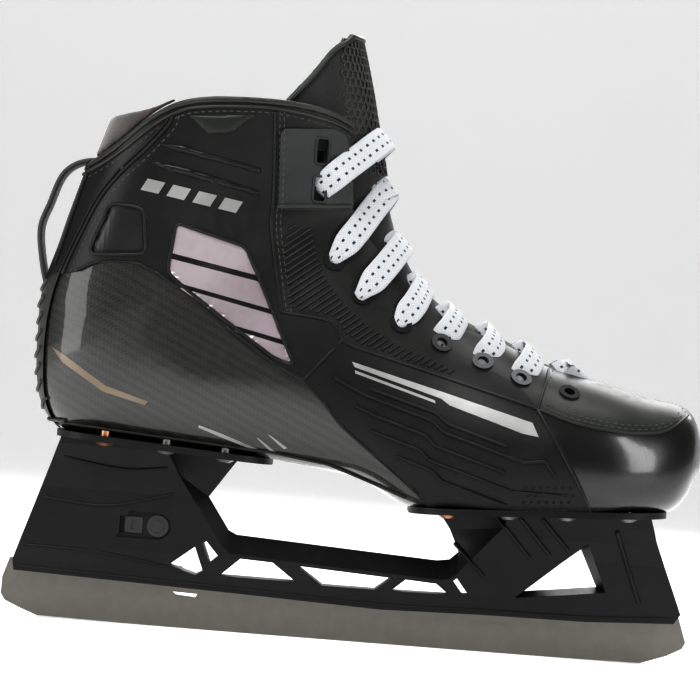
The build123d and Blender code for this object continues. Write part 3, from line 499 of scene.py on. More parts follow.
def copies_tree():
    """Sets one small shape on every point, standing on the surface and turned along its line."""
    tree, n, start, end = geometry_tree("copies_on_points", (
        ("Shape", "NodeSocketObject", None), ("Size", "NodeSocketFloat", 1.0),
        ("Material", "NodeSocketMaterial", None)))
    shape = n.add("GeometryNodeObjectInfo", Object=start.outputs["Shape"])
    turn = None
    for attribute, axis, pivot in (("facing", "Z", "AUTO"), ("heading", "X", "Z")):
        way = n.add("GeometryNodeInputNamedAttribute", {"data_type": "FLOAT_VECTOR"})
        way.inputs["Name"].default_value = attribute
        align = n.add("FunctionNodeAlignRotationToVector", {"axis": axis, "pivot_axis": pivot},
                      Rotation=turn, Vector=way.outputs["Attribute"])
        turn = align.outputs["Rotation"]
    spots = n.add("GeometryNodeMeshToPoints", Mesh=start.outputs["Geometry"])
    placed = n.add("GeometryNodeInstanceOnPoints", Points=spots.outputs["Points"],
                   Instance=shape.outputs["Geometry"], Rotation=turn, Scale=start.outputs["Size"])
    solid = n.add("GeometryNodeRealizeInstances", Geometry=placed.outputs["Instances"])
    soft = n.add("GeometryNodeSetShadeSmooth", Geometry=solid.outputs["Geometry"])
    made = n.add("GeometryNodeSetMaterial", Geometry=soft.outputs[0], Material=start.outputs["Material"])
    n.feed(end.inputs["Geometry"], made.outputs["Geometry"])
    return tree


BEADS = bead_tree()
COPIES = copies_tree()


def grown(piece, tree, values):
    """The piece after a geometry-node tree with the values for its named inputs."""
    modifier = piece.modifiers.new(tree.name, "NODES")
    modifier.node_group = tree
    for socket in tree.interface.items_tree:
        if socket.item_type == "SOCKET" and socket.in_out == "INPUT" and socket.name in values:
            modifier[socket.identifier] = values[socket.name]
    return realised(piece)


def beads(name, runs, radius, material, sink=0.3, sides=8, closed=False):
    """Raised lines on a surface: runs of (point, normal) with a round bead sunk into it."""
    corners, edges = [], []
    for run in runs:
        start = len(corners)
        corners += [spot + normal * (radius * (1 - 2 * sink)) for spot, normal in run]
        edges += [(start + k, start + k + 1) for k in range(len(run) - 1)]
        if closed:
            edges.append((len(corners) - 1, start))
    piece = mesh_piece(name, corners, [], material, edges)
    return grown(piece, BEADS, {"Radius": radius, "Sides": sides, "Material": material})


def copies(name, spots, shape, material, size=1.0):
    """One small shape on each of the spots: (point, normal, heading)."""
    piece = mesh_piece(name, [s[0] for s in spots], [], material)
    for label, index in (("facing", 1), ("heading", 2)):
        attribute = piece.data.attributes.new(label, "FLOAT_VECTOR", "POINT")
        attribute.data.foreach_set("vector", [c for s in spots for c in s[index]])
    return grown(piece, COPIES, {"Shape": shape, "Size": size, "Material": material})


def small_shape(name, build):
    """Shape that the copies are made from; it is removed at the end."""
    mesh = bpy.data.meshes.new(name)
    maker = bmesh.new()
    build(maker)
    maker.to_mesh(mesh)
    maker.free()
    shape = bpy.data.objects.new(name, mesh)
    bpy.context.scene.collection.objects.link(shape)
    return shape


def build_stitch(maker):
    bmesh.ops.create_uvsphere(maker, u_segments=6, v_segments=4, radius=1.0)
    bmesh.ops.scale(maker, vec=(1.15 * MM, 0.32 * MM, 0.30 * MM), verts=maker.verts)


def ring_builder(sides, outer, inner, height):
    """Raised ring with a sloping inside: a hexagon cell or a round dimple's lip."""
    def build(maker):
        rows = []
        for radius, z in ((outer, -0.3 * height), (outer, 0.6 * height), ((outer + inner) / 2, height),
                          (inner, 0.5 * height), (inner, -0.3 * height)):
            rows.append([maker.verts.new((radius * MM * math.cos(a), radius * MM * math.sin(a), z * MM))
                         for a in np.linspace(0, 2 * math.pi, sides, endpoint=False)])
        for low, high in zip(rows, rows[1:] + rows[:1]):
            for k in range(sides):
                maker.faces.new((low[k], low[(k + 1) % sides], high[(k + 1) % sides], high[k]))
        bmesh.ops.recalc_face_normals(maker, faces=maker.faces)
    return build


STITCH_SHAPE = small_shape("stitch_shape", build_stitch)
HEX_SHAPE = small_shape("hex_shape", ring_builder(6, 2.35, 1.55, 0.9))
DIMPLE_SHAPE = small_shape("dimple_shape", ring_builder(8, 0.85, 0.45, 0.35))
STITCH_PITCH = 3.1


def with_heading(run):
    """Adds to each (point, normal) the direction of the line there."""
    return [(spot, normal, (run[min(k + 1, len(run) - 1)][0] - run[max(k - 1, 0)][0]).normalized())
            for k, (spot, normal) in enumerate(run)]


def stitches(name, lines, side, slot="black_tpu", tree=skin):
    """A row of stitches along each side-view line."""
    spots = []
    for line in lines:
        for run in drape(line, side, STITCH_PITCH, tree=tree):
            spots += with_heading(run)
    return on_boot(copies(name, spots, STITCH_SHAPE, STITCH), slot)


def offset_line(points, distance):
    """Side-view line moved to its left by a distance."""
    moved = []
    for k, point in enumerate(points):
        a, b = Vector(points[max(k - 1, 0)]), Vector(points[min(k + 1, len(points) - 1)])
        way = (b - a).normalized()
        moved.append((point[0] - way[1] * distance, point[1] + way[0] * distance))
    return moved


def inside(point, outline):
    hit = False
    for (x0, z0), (x1, z1) in zip(outline, outline[1:] + outline[:1]):
        if (z0 > point[1]) != (z1 > point[1]) and point[0] < (x1 - x0) * (point[1] - z0) / (z1 - z0) + x0:
            hit = not hit
    return hit


def hatch(outline, angle, pitch, step=1.0):
    """Parallel side-view lines, a pitch apart, clipped to an outline."""
    way = Vector((math.cos(math.radians(angle)), math.sin(math.radians(angle))))
    across = Vector((-way[1], way[0]))
    lines = []
    for k in np.arange(-200, 400, pitch):
        run = []
        for t in np.arange(-300, 300, step):
            point = across * k + way * t
            if inside(point, outline):
                run.append(point)
            elif run:
                lines.append([run[0], run[-1]])
                run = []
    return [line for line in lines if (line[1] - line[0]).length > 2.5]


def plate(name, outline, side, height, material, bevel=0.0, cell=2.0, sink=0.25, corner=0.0, tree=skin):
    """Thin raised plate draped on the skate's side inside a side-view outline."""
    maker = bmesh.new()
    if corner:
        outline = rounded(outline, corner)
    maker.faces.new([maker.verts.new((x, 0, z)) for x, z in outline])
    for i, axis in ((0, (1, 0, 0)), (1, (0, 0, 1))):
        low, high = min(p[i] for p in outline), max(p[i] for p in outline)
        for place in np.arange(low + cell / 2, high, cell):
            bmesh.ops.bisect_plane(maker, geom=maker.verts[:] + maker.edges[:] + maker.faces[:],
                                   plane_co=Vector(axis) * place, plane_no=axis)
    bmesh.ops.triangulate(maker, faces=maker.faces)
    lost, normals = [], {}
    for vert in maker.verts:
        found = on_side(vert.co.x, vert.co.z, side, tree)
        if found is None:
            lost.append(vert)
            continue
        low_by = bevel * height if vert.is_boundary else 0.0
        vert.co = found[0] + found[1] * ((height - low_by) * MM)
        normals[vert] = found[1]
    bmesh.ops.delete(maker, geom=lost, context="VERTS")
    maker.normal_update()
    if sum(f.normal.y * f.calc_area() for f in maker.faces) * side < 0:
        bmesh.ops.reverse_faces(maker, faces=maker.faces)
    rim = [e for e in maker.edges if e.is_boundary]
    below = {}
    for edge in rim:
        for vert in edge.verts:
            if vert not in below:
                drop = height * (1 - bevel) + sink
                below[vert] = maker.verts.new(vert.co - normals[vert] * (drop * MM))
    for edge in rim:
        loop = edge.link_loops[0]
        a, b = loop.vert, loop.link_loop_next.vert
        maker.faces.new((b, a, below[a], below[b]))
    piece = mesh_piece(name, [], [], material)
    maker.to_mesh(piece.data)
    maker.free()
    flat_shading = bevel == 0.0
    piece.data.polygons.foreach_set("use_smooth", [not flat_shading] * len(piece.data.polygons))
    return piece


def rounded(outline, radius):
    """Outline with its corners cut by short arcs."""
    result = []
    count = len(outline)
    for k in range(count):
        before, here, after = (Vector(outline[(k + j) % count]) for j in (-1, 0, 1))
        reach = min(radius, (before - here).length / 2.2, (after - here).length / 2.2)
        a = here + (before - here).normalized() * reach
        b = here + (after - here).normalized() * reach
        result += [tuple(a.lerp(here, t).lerp(here.lerp(b, t), t)) for t in (0, 0.25, 0.5, 0.75, 1)]
    return result


def joined(name, pieces):
    """Several plain meshes as one piece."""
    maker = bmesh.new()
    material = pieces[0].data.materials[0]
    for piece in pieces:
        maker.from_mesh(piece.data)
        bpy.data.objects.remove(piece)
    result = mesh_piece(name, [], [], material)
    maker.to_mesh(result.data)
    maker.free()
    return result


# ---------------------------------------------------------------- soft pieces from the CAD solids
def soft_copy(name, sources, material, voxel, rounds):
    """Closed rounded copy of CAD solids, merged, remeshed and smoothed."""
    maker = bmesh.new()
    for source in sources:
        maker.from_mesh(nodes[source].data)
    bmesh.ops.remove_doubles(maker, verts=maker.verts, dist=1e-5)
    piece = mesh_piece(name, [], [], material)
    maker.to_mesh(piece.data)
    maker.free()
    remesh = piece.modifiers.new("remesh", "REMESH")
    remesh.mode = "VOXEL"
    remesh.voxel_size = voxel * MM
    remesh.use_smooth_shade = True
    soften = piece.modifiers.new("soften", "SMOOTH")
    soften.factor = 0.5
    soften.iterations = rounds
    realised(piece)
    if not piece.data.materials:
        piece.data.materials.append(material)
    piece.data.polygons.foreach_set("use_smooth", [True] * len(piece.data.polygons))
    return piece


CLOTH_FRAMES = 14


def puffed(piece, cap, pressure=4.0):
    """Blows the piece up as padded cloth, with no point moving further than cap millimetres."""
    start = np.array([v.co for v in piece.data.vertices])
    cloth = piece.modifiers.new("cloth", "CLOTH")
    cloth.settings.use_pressure = True
    cloth.settings.uniform_pressure_force = pressure
    cloth.settings.effector_weights.gravity = 0
    scene = bpy.context.scene
    for number in range(1, CLOTH_FRAMES + 1):
        scene.frame_set(number)
    solved = piece.evaluated_get(bpy.context.evaluated_depsgraph_get()).to_mesh()
    end = np.array([v.co for v in solved.vertices])
    piece.modifiers.clear()
    scene.frame_set(1)
    move = end - start
    far = np.linalg.norm(move, axis=1, keepdims=True)
    held = start + move * np.minimum(1.0, cap * MM / np.maximum(far, 1e-9))
    piece.data.vertices.foreach_set("co", held.ravel())
    piece.data.update()
    return piece


# ---------------------------------------------------------------- CAD nodes that stay
KEPT = {
    "boot_shell": CARBON, "heel_stay": GREY_TPU, "achilles_band": BLACK_TPU, "toe_cap": TOE_PLASTIC,
    "vamp": VAMP_LEATHER, "blade_holder": HOLDER, "runner": STEEL, "latch_clip": SPRING_STEEL,
    "button_spring": SPRING_STEEL, "copper_rivets": COPPER, "steel_rivets": RIVET_STEEL,
    "release_button": BUTTON, "lock_slider": BUTTON,
}
for side_name in SIDES:
    KEPT[f"quarter_{side_name}"] = BLACK_TPU
    KEPT[f"window_insert_{side_name}"] = GLOSS_BLACK
    KEPT[f"facing_{side_name}"] = FACING
    KEPT[f"forefoot_wrap_{side_name}"] = WRAP
    KEPT[f"ankle_tab_{side_name}"] = TAB
    KEPT[f"eyelets_{side_name}"] = EYELET_METAL
for node_name, node_material in KEPT.items():
    for held in nodes[node_name].material_slots:
        held.material = node_material

# ---------------------------------------------------------------- side-view lines, in millimetres
COLLAR = [(-140, 203.5), (-132, 206.6), (-124, 211), (-115, 217.8), (-103, 228.5), (-92.5, 235.0),
          (-83, 238), (-65, 239.9), (-43, 240.2), (-17, 235.8), (-6, 228.8)]
STAY_EDGE = [(-94.3, 230.0), (-95.5, 226.0), (-104.4, 215.1), (-116.0, 202.7), (-124.5, 190.5),
             (-132.5, 172.6), (-138.6, 156.9)]
QUARTER_SEAM = [(-47.6, 234.5), (-46.3, 215.0), (-45.4, 195.2), (-45.0, 181.3), (-37.8, 146.4)]
FLAP_TOP = [(-37.8, 146.4), (-16.0, 143.9), (-9.9, 136.2)]
FLAP_END = [(-9.9, 136.2), (-25.9, 117.2)]
QUARTER_FOOT = [(-25.9, 117.2), (-39.8, 123.9), (-60.7, 137.4), (-85.9, 154.6), (-95.0, 160.0),
                (-106.0, 163.4), (-121.0, 162.4), (-131.0, 157.8)]
FACING_FOOT = [(-9.9, 136.2), (-5.5, 133.9), (7.6, 130.4), (78.5, 112.4)]
FACING_FRONT = [(78.5, 112.4), (84.5, 133.2)]
WRAP_REAR = [(-25.9, 117.2), (-15.7, 107.5), (-7.7, 98.6), (8.3, 86.2), (25.8, 72.9), (33.0, 66.0)]
WRAP_FRONT = [(78.5, 112.4), (106.5, 68.0)]
VAMP_EDGE = [(78.5, 112.4), (92.9, 107.9), (108.0, 105.6), (123.0, 104.9), (137.2, 107.0),
             (148.0, 114.4)]
WINDOW = [(-87.5, 182.4), (-56.0, 174.1), (-49.5, 161.8), (-30.2, 122.9), (-39.9, 125.9),
          (-60.8, 139.6), (-80.2, 152.8), (-89.7, 159.8)]
POCKET = [(-117.8, 189.2), (-101.9, 187.7), (-99.7, 167.2), (-126.0, 165.4)]
TAB_SLOTS = [(-25.3, 219.3), (-25.3, 202.4)]
EYELETS = [(-16.2, 171.4), (-2.7, 157.0), (15.6, 145.6), (34.4, 138.2), (53.2, 131.4),
           (70.6, 125.4), (92.6, 120.6)]
TONGUE_EDGE = [(-46.0, 238.0), (-43.5, 241.6), (-34.5, 253.0), (-26.2, 265.0), (-19.6, 271.0)]
LOOP_PATH = [(-144.5, 147.0), (-148.2, 160.0), (-150.4, 176.0), (-147.0, 187.8), (-142.8, 200.0),
             (-137.0, 206.0), (-129.0, 208.6), (-122.0, 208.0)]


# ---------------------------------------------------------------- seams, relief and stripes on both sides
def seam(name, lines, side, radius, material, slot, closed=False, curved=True):
    runs = [run for line in lines for run in drape(line, side, curved=curved, closed=closed)]
    return on_boot(beads(name, runs, radius * MM, material, closed=closed), slot)


RIB_AREA = [(-38.0, 186.0), (-27.0, 185.0), (-21.0, 166.0), (-8.0, 150.0), (10.0, 138.5), (31.0, 130.5),
            (49.0, 124.0), (66.0, 118.5), (76.0, 116.2), (75.0, 114.8), (8.0, 132.2), (-4.0, 135.6),
            (-8.5, 138.6), (-14.0, 146.0), (-35.0, 149.0), (-40.0, 172.0)]
WINDOW_STRIPES = (
    [(-87.0, 181.5), (-56.5, 173.4), (-50.4, 161.9), (-89.0, 168.8)],
    [(-89.3, 166.3), (-49.3, 159.2), (-42.6, 147.3), (-85.0, 155.8), (-89.3, 159.4)],
    [(-83.9, 153.7), (-41.5, 144.9), (-35.6, 134.0), (-59.9, 139.2)],
    [(-58.4, 136.9), (-34.4, 131.6), (-30.6, 123.6), (-39.6, 126.6)],
)
CHEVRONS = (
    [(-98.0, 216.4), (-88.0, 216.8), (-77.4, 214.4), (-52.0, 209.4), (-51.5, 207.0), (-78.0, 211.6),
     (-90.0, 213.8)],
    [(-103.0, 208.4), (-90.0, 208.0), (-70.0, 203.6), (-52.0, 199.4), (-51.6, 197.2), (-72.0, 200.6),
     (-92.0, 204.8)],
)
LABEL_BARS = [[(-101.5 + 11.6 * k, 200.8 - 1.9 * k), (-93.5 + 11.6 * k, 199.5 - 1.9 * k),
               (-96.3 + 11.6 * k, 194.3 - 1.9 * k), (-104.3 + 11.6 * k, 195.6 - 1.9 * k)] for k in range(4)]
WRAP_LINES = (
    [(-12.0, 119.0), (2.0, 112.6), (33.0, 103.4), (38.0, 99.0), (74.0, 88.6), (83.0, 90.0), (88.0, 83.5)],
    [(-2.0, 107.6), (8.0, 103.6), (30.0, 97.0), (35.0, 92.6), (66.0, 83.6)],
    [(6.0, 97.0), (28.0, 90.4), (33.0, 86.0), (70.0, 75.4), (92.0, 75.4)],
    [(18.0, 86.6), (34.0, 81.8), (39.0, 77.4), (68.0, 69.0)],
    [(4.0, 115.6), (34.0, 107.0), (39.0, 102.8), (66.0, 95.0)],
)
RIB_ANGLE, RIB_PITCH = 38.0, 2.5

for side_name, side in SIDES.items():
    seam(f"collar_piping_{side_name}", [offset_line(COLLAR, -4.4)], side, 0.75, BINDING, "binding")
    seam(f"quarter_piping_{side_name}", [QUARTER_SEAM, offset_line(STAY_EDGE, 1.6)], side, 0.8, BLACK_TPU,
         "black_tpu")
    seam(f"panel_edges_{side_name}",
         [STAY_EDGE, QUARTER_FOOT, FLAP_TOP, FLAP_END, FACING_FOOT, WRAP_REAR, WRAP_FRONT], side, 0.62,
         BLACK_TPU, "black_tpu")
    seam(f"vamp_edge_{side_name}", [VAMP_EDGE, FACING_FRONT], side, 0.6, VAMP_LEATHER, "vamp_leather")
    stitches(f"quarter_stitches_{side_name}",
             [offset_line(QUARTER_SEAM, 2.2), offset_line(QUARTER_SEAM, 4.2), offset_line(STAY_EDGE, 4.6)],
             side)
    stitches(f"collar_stitches_{side_name}", [offset_line(COLLAR, -6.6)], side, "binding")
    stitches(f"vamp_stitches_{side_name}",
             [offset_line(VAMP_EDGE, 1.9), offset_line(VAMP_EDGE, 3.6), offset_line(FACING_FRONT, -1.8)],
             side, "vamp_leather")
    seam(f"window_rim_{side_name}", [rounded(WINDOW, 3.0)], side, 0.9, BLACK_TPU, "black_tpu", closed=True,
         curved=False)
    seam(f"pocket_rim_{side_name}", [rounded(POCKET, 4.0)], side, 0.8, BLACK_TPU, "black_tpu", closed=True,
         curved=False)
    on_boot(joined(f"window_stripes_{side_name}",
                   [plate("stripe", outline, side, 0.22, PINK_SILVER, sink=0.1, corner=1.0)
                    for outline in WINDOW_STRIPES]), "silver_stripe")
    on_boot(joined(f"ankle_relief_{side_name}",
                   [plate("chevron", outline, side, 1.0, BLACK_TPU, bevel=0.85) for outline in CHEVRONS]),
            "black_tpu")
    on_boot(joined(f"label_bars_{side_name}",
                   [plate("bar", outline, side, 0.4, SILVER) for outline in LABEL_BARS]),
            "silver_stripe")
    on_boot(plate(f"pocket_panel_{side_name}",
                  [(-116.0, 187.4), (-103.4, 186.2), (-101.4, 169.0), (-123.0, 167.4)], side, 0.15,
                  POCKET_GLOSS, corner=3.0), "black_tpu")
    on_boot(plate(f"collar_patch_{side_name}",
                  [(-86.1, 230.2), (-55.7, 232.6), (-65.5, 223.7), (-76.3, 222.3)],
                  side, 0.6, VAMP_LEATHER, bevel=0.8, corner=1.5), "vamp_leather")
    on_boot(joined(f"wrap_stripes_{side_name}", [
        plate("stripe", outline, side, 0.3, SILVER) for outline in (
            [(-4.9, 126.9), (18.0, 121.1), (37.0, 116.4), (76.5, 106.2), (79.6, 100.2), (72.4, 101.2),
             (39.6, 111.0), (35.8, 113.6), (-3.6, 124.6)],
            [(-3.4, 123.2), (33.0, 112.7), (33.4, 111.4), (-3.0, 121.8)])]), "silver_stripe")
    on_boot(joined(f"heel_stripes_{side_name}", [
        plate("stripe", outline, side, 0.12, SILVER) for outline in (
            [(-70.7, 93.4), (-60.0, 90.2), (-41.6, 83.8), (-42.4, 82.9), (-61.0, 88.9), (-70.9, 92.3)],
            [(-44.9, 90.0), (-43.4, 89.3), (-35.4, 83.6), (-37.2, 83.2)],
            [(-40.0, 91.8), (-38.4, 91.2), (-30.6, 86.2), (-32.2, 85.6)])]), "silver_stripe")
    on_boot(plate(f"bronze_stripe_{side_name}",
                  [(-140.0, 123.2), (-132.0, 119.0), (-113.4, 107.6), (-94.0, 102.2), (-95.4, 100.4),
                   (-114.6, 105.0), (-134.0, 116.4)], side, 0.12, BROWN_STRIPE), "silver_stripe")
    seam(f"wrap_relief_{side_name}", WRAP_LINES, side, 0.8, WRAP, "wrap_rubber", curved=False)
    seam(f"facing_ribs_{side_name}", hatch(RIB_AREA, RIB_ANGLE, RIB_PITCH), side, 0.62, FACING,
         "facing_rubber", curved=False)
    seam(f"tab_edge_{side_name}", [[(-43.0, 193.0), (-10.6, 196.0)]], side, 1.1, TAB, "tab_rubber",
         curved=False)
    for number, place in enumerate(TAB_SLOTS):
        outline = [(place[0] + dx, place[1] + dz)
                   for dx, dz in ((-2.9, -5.8), (2.9, -5.8), (2.9, 5.8), (-2.9, 5.8))]
        seam(f"tab_slot_rim_{number}_{side_name}", [rounded(outline, 1.2)], side, 0.55, TAB, "tab_rubber",
             closed=True, curved=False)
    dots = []
    for row in range(4):
        for column in range(7):
            found = on_side(75.5 + column * 3.3 + (row % 2) * 1.6, 77.5 - row * 3.3 + column * 0.25, side)
            if found:
                dots.append((*found, Vector((1, 0, 0))))
    on_boot(copies(f"wrap_dimples_{side_name}", dots, DIMPLE_SHAPE, WRAP), "wrap_rubber")
    shell_edge = [(-134.0, 89.6), (-37.0, 83.8), (-12.0, 80.6), (24.0, 68.5)]
    seam(f"shell_welt_{side_name}", [shell_edge], side, 0.8, BLACK_TPU, "black_tpu", curved=False)


# ---------------------------------------------------------------- grooves round the heel
def from_behind(y, z, tree=skin):
    spot, normal, _, _ = tree.ray_cast(Vector((-0.25, y * MM, z * MM)), Vector((1, 0, 0)))
    return None if spot is None else (spot, normal if normal.x < 0 else -normal)


def round_back(name, heights, half_width, droop, radius, material, slot):
    """Raised lines round the back of the heel, lower at their middle by droop."""
    runs = []
    for z in heights:
        found = [from_behind(y, z + droop * (y / half_width) ** 2)
                 for y in np.linspace(-half_width, half_width, 15)]
        runs.append(smoothed([f for f in found if f]))
    return on_boot(beads(name, runs, radius * MM, material), slot)


round_back("heel_stay_grooves", np.arange(95.0, 149.0, 7.6), 13.0, 5.0, 0.8, GREY_TPU, "grey_tpu")
round_back("heel_stay_lip", (90.5,), 16.0, 0.0, 1.0, GREY_TPU, "grey_tpu")
back_lines = [smoothed([f for f in (from_behind(y, z) for z in np.arange(160.0, 206.0, 3.0)) if f])
              for y in (-16.0, 16.0)]
on_boot(beads("achilles_piping", back_lines, 0.8 * MM, BLACK_TPU), "black_tpu")


# ---------------------------------------------------------------- lining, footbed, collar
lining = soft_copy("boot_lining", ["lining"], LINING, 2.4, 4)
on_boot(lining, "lining_fabric", "lining")
bed = soft_copy("moulded_footbed", ["footbed"], FOOTBED, 2.6, 5)
on_boot(bed, "footbed_foam", "footbed")
collar = soft_copy("collar_roll", ["collar_binding"], BINDING, 0.8, 8)
on_boot(collar, "binding", "collar_binding")


def on_tongue(piece, slot, *replaced):
    """The piece stays where it is, on the tongue between the boot and the flap, with its transform baked in;
    it may stand for CAD nodes.
    """
    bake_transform(piece)
    if replaced:
        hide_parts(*replaced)
    return piece


tongue = puffed(soft_copy("felt_tongue", ["tongue_base", "tongue_top"], FELT, 1.8, 6), 0.5)
tongue_skin = tree_of(["tongue_base", "tongue_top"])


def round_tongue(angle, z, centre=-40.0):
    """Point and normal on the tongue's outside, seen from its middle line at a height."""
    way = Vector((math.cos(angle), math.sin(angle), 0))
    start = Vector((centre * MM, 0, z * MM)) + way * 0.15
    spot, normal, _, _ = tongue_skin.ray_cast(start, -way)
    if spot is None or (spot - start).length > 0.15:
        return None
    return spot, (normal if normal.dot(way) > 0 else -normal)


rim = []
for x, z in smooth_run(TONGUE_EDGE):
    found = on_side(x + 1.4, z - 0.9, -1, tongue_skin)
    if found:
        rim.append(found)
over_top = [round_tongue(a, 272.4) for a in np.linspace(-1.25, 1.25, 25)]
far_rim = [(Vector((s.x, -s.y, s.z)), Vector((n.x, -n.y, n.z))) for s, n in rim[::-1]]
rim = smoothed(rim + [f for f in over_top if f] + far_rim)
on_tongue(beads("tongue_binding", [rim], 1.3 * MM, BINDING, sink=0.35), "binding")
cells = []
for row, z in enumerate(np.arange(214.0, 271.5, 3.45)):
    for column in range(-9, 10):
        angle = (column + 0.5 * (row % 2)) * 0.098
        if abs(angle) > 0.62 + 0.004 * (z - 214):
            continue
        found = round_tongue(angle, z)
        if found and found[1].x > 0.2:
            cells.append((*found, Vector((0, 0, 1)).cross(found[1])))
on_tongue(copies("tongue_mesh", cells, HEX_SHAPE, MESH_RUBBER), "tongue_felt")
on_tongue(tongue, "tongue_felt", "tongue_base", "tongue_top")

# ---------------------------------------------------------------- tendon guard and heel loop
pad = puffed(soft_copy("tendon_pad", ["tendon_guard"], PAD_FELT, 1.3, 8), 0.6)
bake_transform(pad)
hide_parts("tendon_guard")

LOOP_HALF_WIDTH = 9.0
STRAP_PROFILE = [(-1.0, 0.0), (-0.97, 0.7), (-0.88, 1.0), (-0.45, 0.88), (0.0, 0.96), (0.45, 0.88),
                 (0.88, 1.0), (0.97, 0.7), (1.0, 0.0), (0.97, -0.7), (0.88, -1.0), (0.0, -0.9),
                 (-0.88, -1.0), (-0.97, -0.7)]


def strap(name, path, half_width, half_thick, material):
    """Woven strap across Y that follows a side-view path, with its length on its UV map."""
    line = evenly(smooth_run(path), 1.5)
    corners, faces, where = [], [], []
    around = len(STRAP_PROFILE)
    for k, point in enumerate(line):
        way = (line[min(k + 1, len(line) - 1)] - line[max(k - 1, 0)]).normalized()
        for across, out in STRAP_PROFILE:
            corners.append((point[0] * MM - way[1] * out * half_thick * MM, across * half_width * MM,
                            point[1] * MM + way[0] * out * half_thick * MM))
            where.append((k * 1.5 * MM, across * half_width * MM))
    for k in range(len(line) - 1):
        for j in range(around):
            a, b = k * around + j, k * around + (j + 1) % around
            faces.append((a, b, b + around, a + around))
    faces += [tuple(range(around))[::-1], tuple(range(len(corners) - around, len(corners)))]
    piece = mesh_piece(name, corners, faces, material)
    layer = piece.data.uv_layers.new(name="UVMap")
    for loop in piece.data.loops:
        layer.data[loop.index].uv = where[loop.vertex_index]
    return piece


strap_piece = strap("heel_strap", LOOP_PATH, LOOP_HALF_WIDTH, 1.05, WEBBING)
on_boot(strap_piece, "webbing", "heel_loop")

# ---------------------------------------------------------------- laces
INSTEP_TOP = Vector((-2.0, 0.0, 232.0)) * MM
ALONG = Vector((101.0 + 2.0, 0.0, 128.0 - 232.0)).normalized()
OFF = Vector((-ALONG.z, 0.0, ALONG.x))
LACE_WIDTH, LACE_THICK = 12.4, 0.7
CORE_DEPTH = 0.030          # the passes are laid round a line this far inside the instep
HOLE_REACH = 5.6            # past a hole's own edge, in millimetres
LACE_RISE, LACE_BULGE = 1.9, 0.8     # height over the boot past the hole, and more of it further on
HOLE_DIP, FAR_DIP = 1.5, 3.4          # how deep a pass sinks at its hole, and under the far edge
CROSS_LIFT = 1.5                      # where a pass goes over another
LACE_LANES = 9
LACE_STEPS = 40


def core_at(u):
    """Point inside the instep, a steady depth under its ridge."""
    spot, _, _, _ = instep_skin.ray_cast(INSTEP_TOP + ALONG * u + OFF * 0.1, -OFF)
    return spot - OFF * CORE_DEPTH


def distance_round(core, way):
    """How far the boot's outside is from a point inside it, or None over a hole."""
    spot, _, _, _ = instep_skin.ray_cast(core + way * 0.1, -way)
    if spot is None or (spot - core).dot(way) < 0.02:
        return None
    return (spot - core).length


def tie_places():
    """(distance along the instep, angle round it) of the tab's lower slot and of each eyelet."""
    places = []
    for x, z in [TAB_SLOTS[1]] + EYELETS:
        around = [on_side(x + dx, z + dz, -1)
                  for dx, dz in ((-HOLE_REACH, 0), (HOLE_REACH, 0), (0, -HOLE_REACH))]
        found = [spot for spot, _ in (f for f in around if f)]
        width = abs(sum(spot.y for spot in found) / len(found))
        place = Vector((x * MM, 0, z * MM))
        u = (place - INSTEP_TOP).dot(ALONG)
        places.append((u, math.atan2(width, (place - core_at(u)).dot(OFF))))
    return places


def evened(values, reach):
    """Running middle value and then running mean, to pass over holes and steps."""
    count = len(values)
    middle = [float(np.median(values[max(0, k - reach):k + reach + 1])) for k in range(count)]
    return [float(np.mean(middle[max(0, k - 4):k + 5])) for k in range(count)]


def lace_strip(start, end, narrow, lift, clear, phase):
    """Rows of (point, uv) of one flat pass of the lace, from a hole across the instep."""
    centre = []
    for k in range(LACE_STEPS + 1):
        t = k / LACE_STEPS
        u, angle = (start[i] + (end[i] - start[i]) * t for i in (0, 1))
        core = core_at(u)
        way = OFF * math.cos(angle) + Vector((0, math.sin(angle), 0))
        centre.append((core, way, distance_round(core, way), t))
    known = [(k, c[2]) for k, c in enumerate(centre) if c[2] is not None]
    far = evened(np.interp(range(len(centre)), *zip(*known)), 2)
    spots = []
    for (core, way, _, t), distance in zip(centre, far):
        rise = LACE_RISE * min(1.0, t / 0.035) + LACE_BULGE * min(1.0, t / 0.2)
        rise += lift * math.exp(-((t - 0.5) / 0.15) ** 2)
        rise -= FAR_DIP * max(0.0, (t - 0.84) / 0.16) ** 1.5 + HOLE_DIP * max(0.0, (0.02 - t) / 0.02)
        rise += clear * min(1.0, t / 0.03) * min(1.0, (1.0 - t) / 0.3)
        spots.append(core + way * (distance + rise * MM))
    rows, length = [], 0.0
    for k, spot in enumerate(spots):
        way = (spots[min(k + 1, LACE_STEPS)] - spots[max(k - 1, 0)]).normalized()
        out = centre[k][1]
        across = way.cross(out).normalized()
        out = across.cross(way).normalized()
        t = centre[k][3]
        gather = min(1.0, t / 0.20)
        gather = gather * gather * (3 - 2 * gather)
        width = LACE_WIDTH * (narrow + (1 - narrow) * gather)
        curl = 1.1 * (1 - gather) * (1 - narrow) + 0.5
        length += (spot - spots[k - 1]).length if k else 0.0
        row = []
        for lane in range(LACE_LANES):
            s = lane / (LACE_LANES - 1) * 2 - 1
            dip = curl * s * s + 0.12 * math.sin(t * 17 + phase + 2.2 * s)
            row.append((spot + across * (s * width / 2 * MM) - out * (dip * MM),
                        (length, s * LACE_WIDTH / 2 * MM)))
        rows.append(row)
    return rows


EDGE_ANGLES = (0.52, 0.36)
TAB_CLEAR, CELL_CLEAR = 2.6, 1.0    # extra height over the ankle tabs, and over the tongue's cells
HOLE_TURN = 0.13            # a pass starts this far below its hole's upper edge, in radians


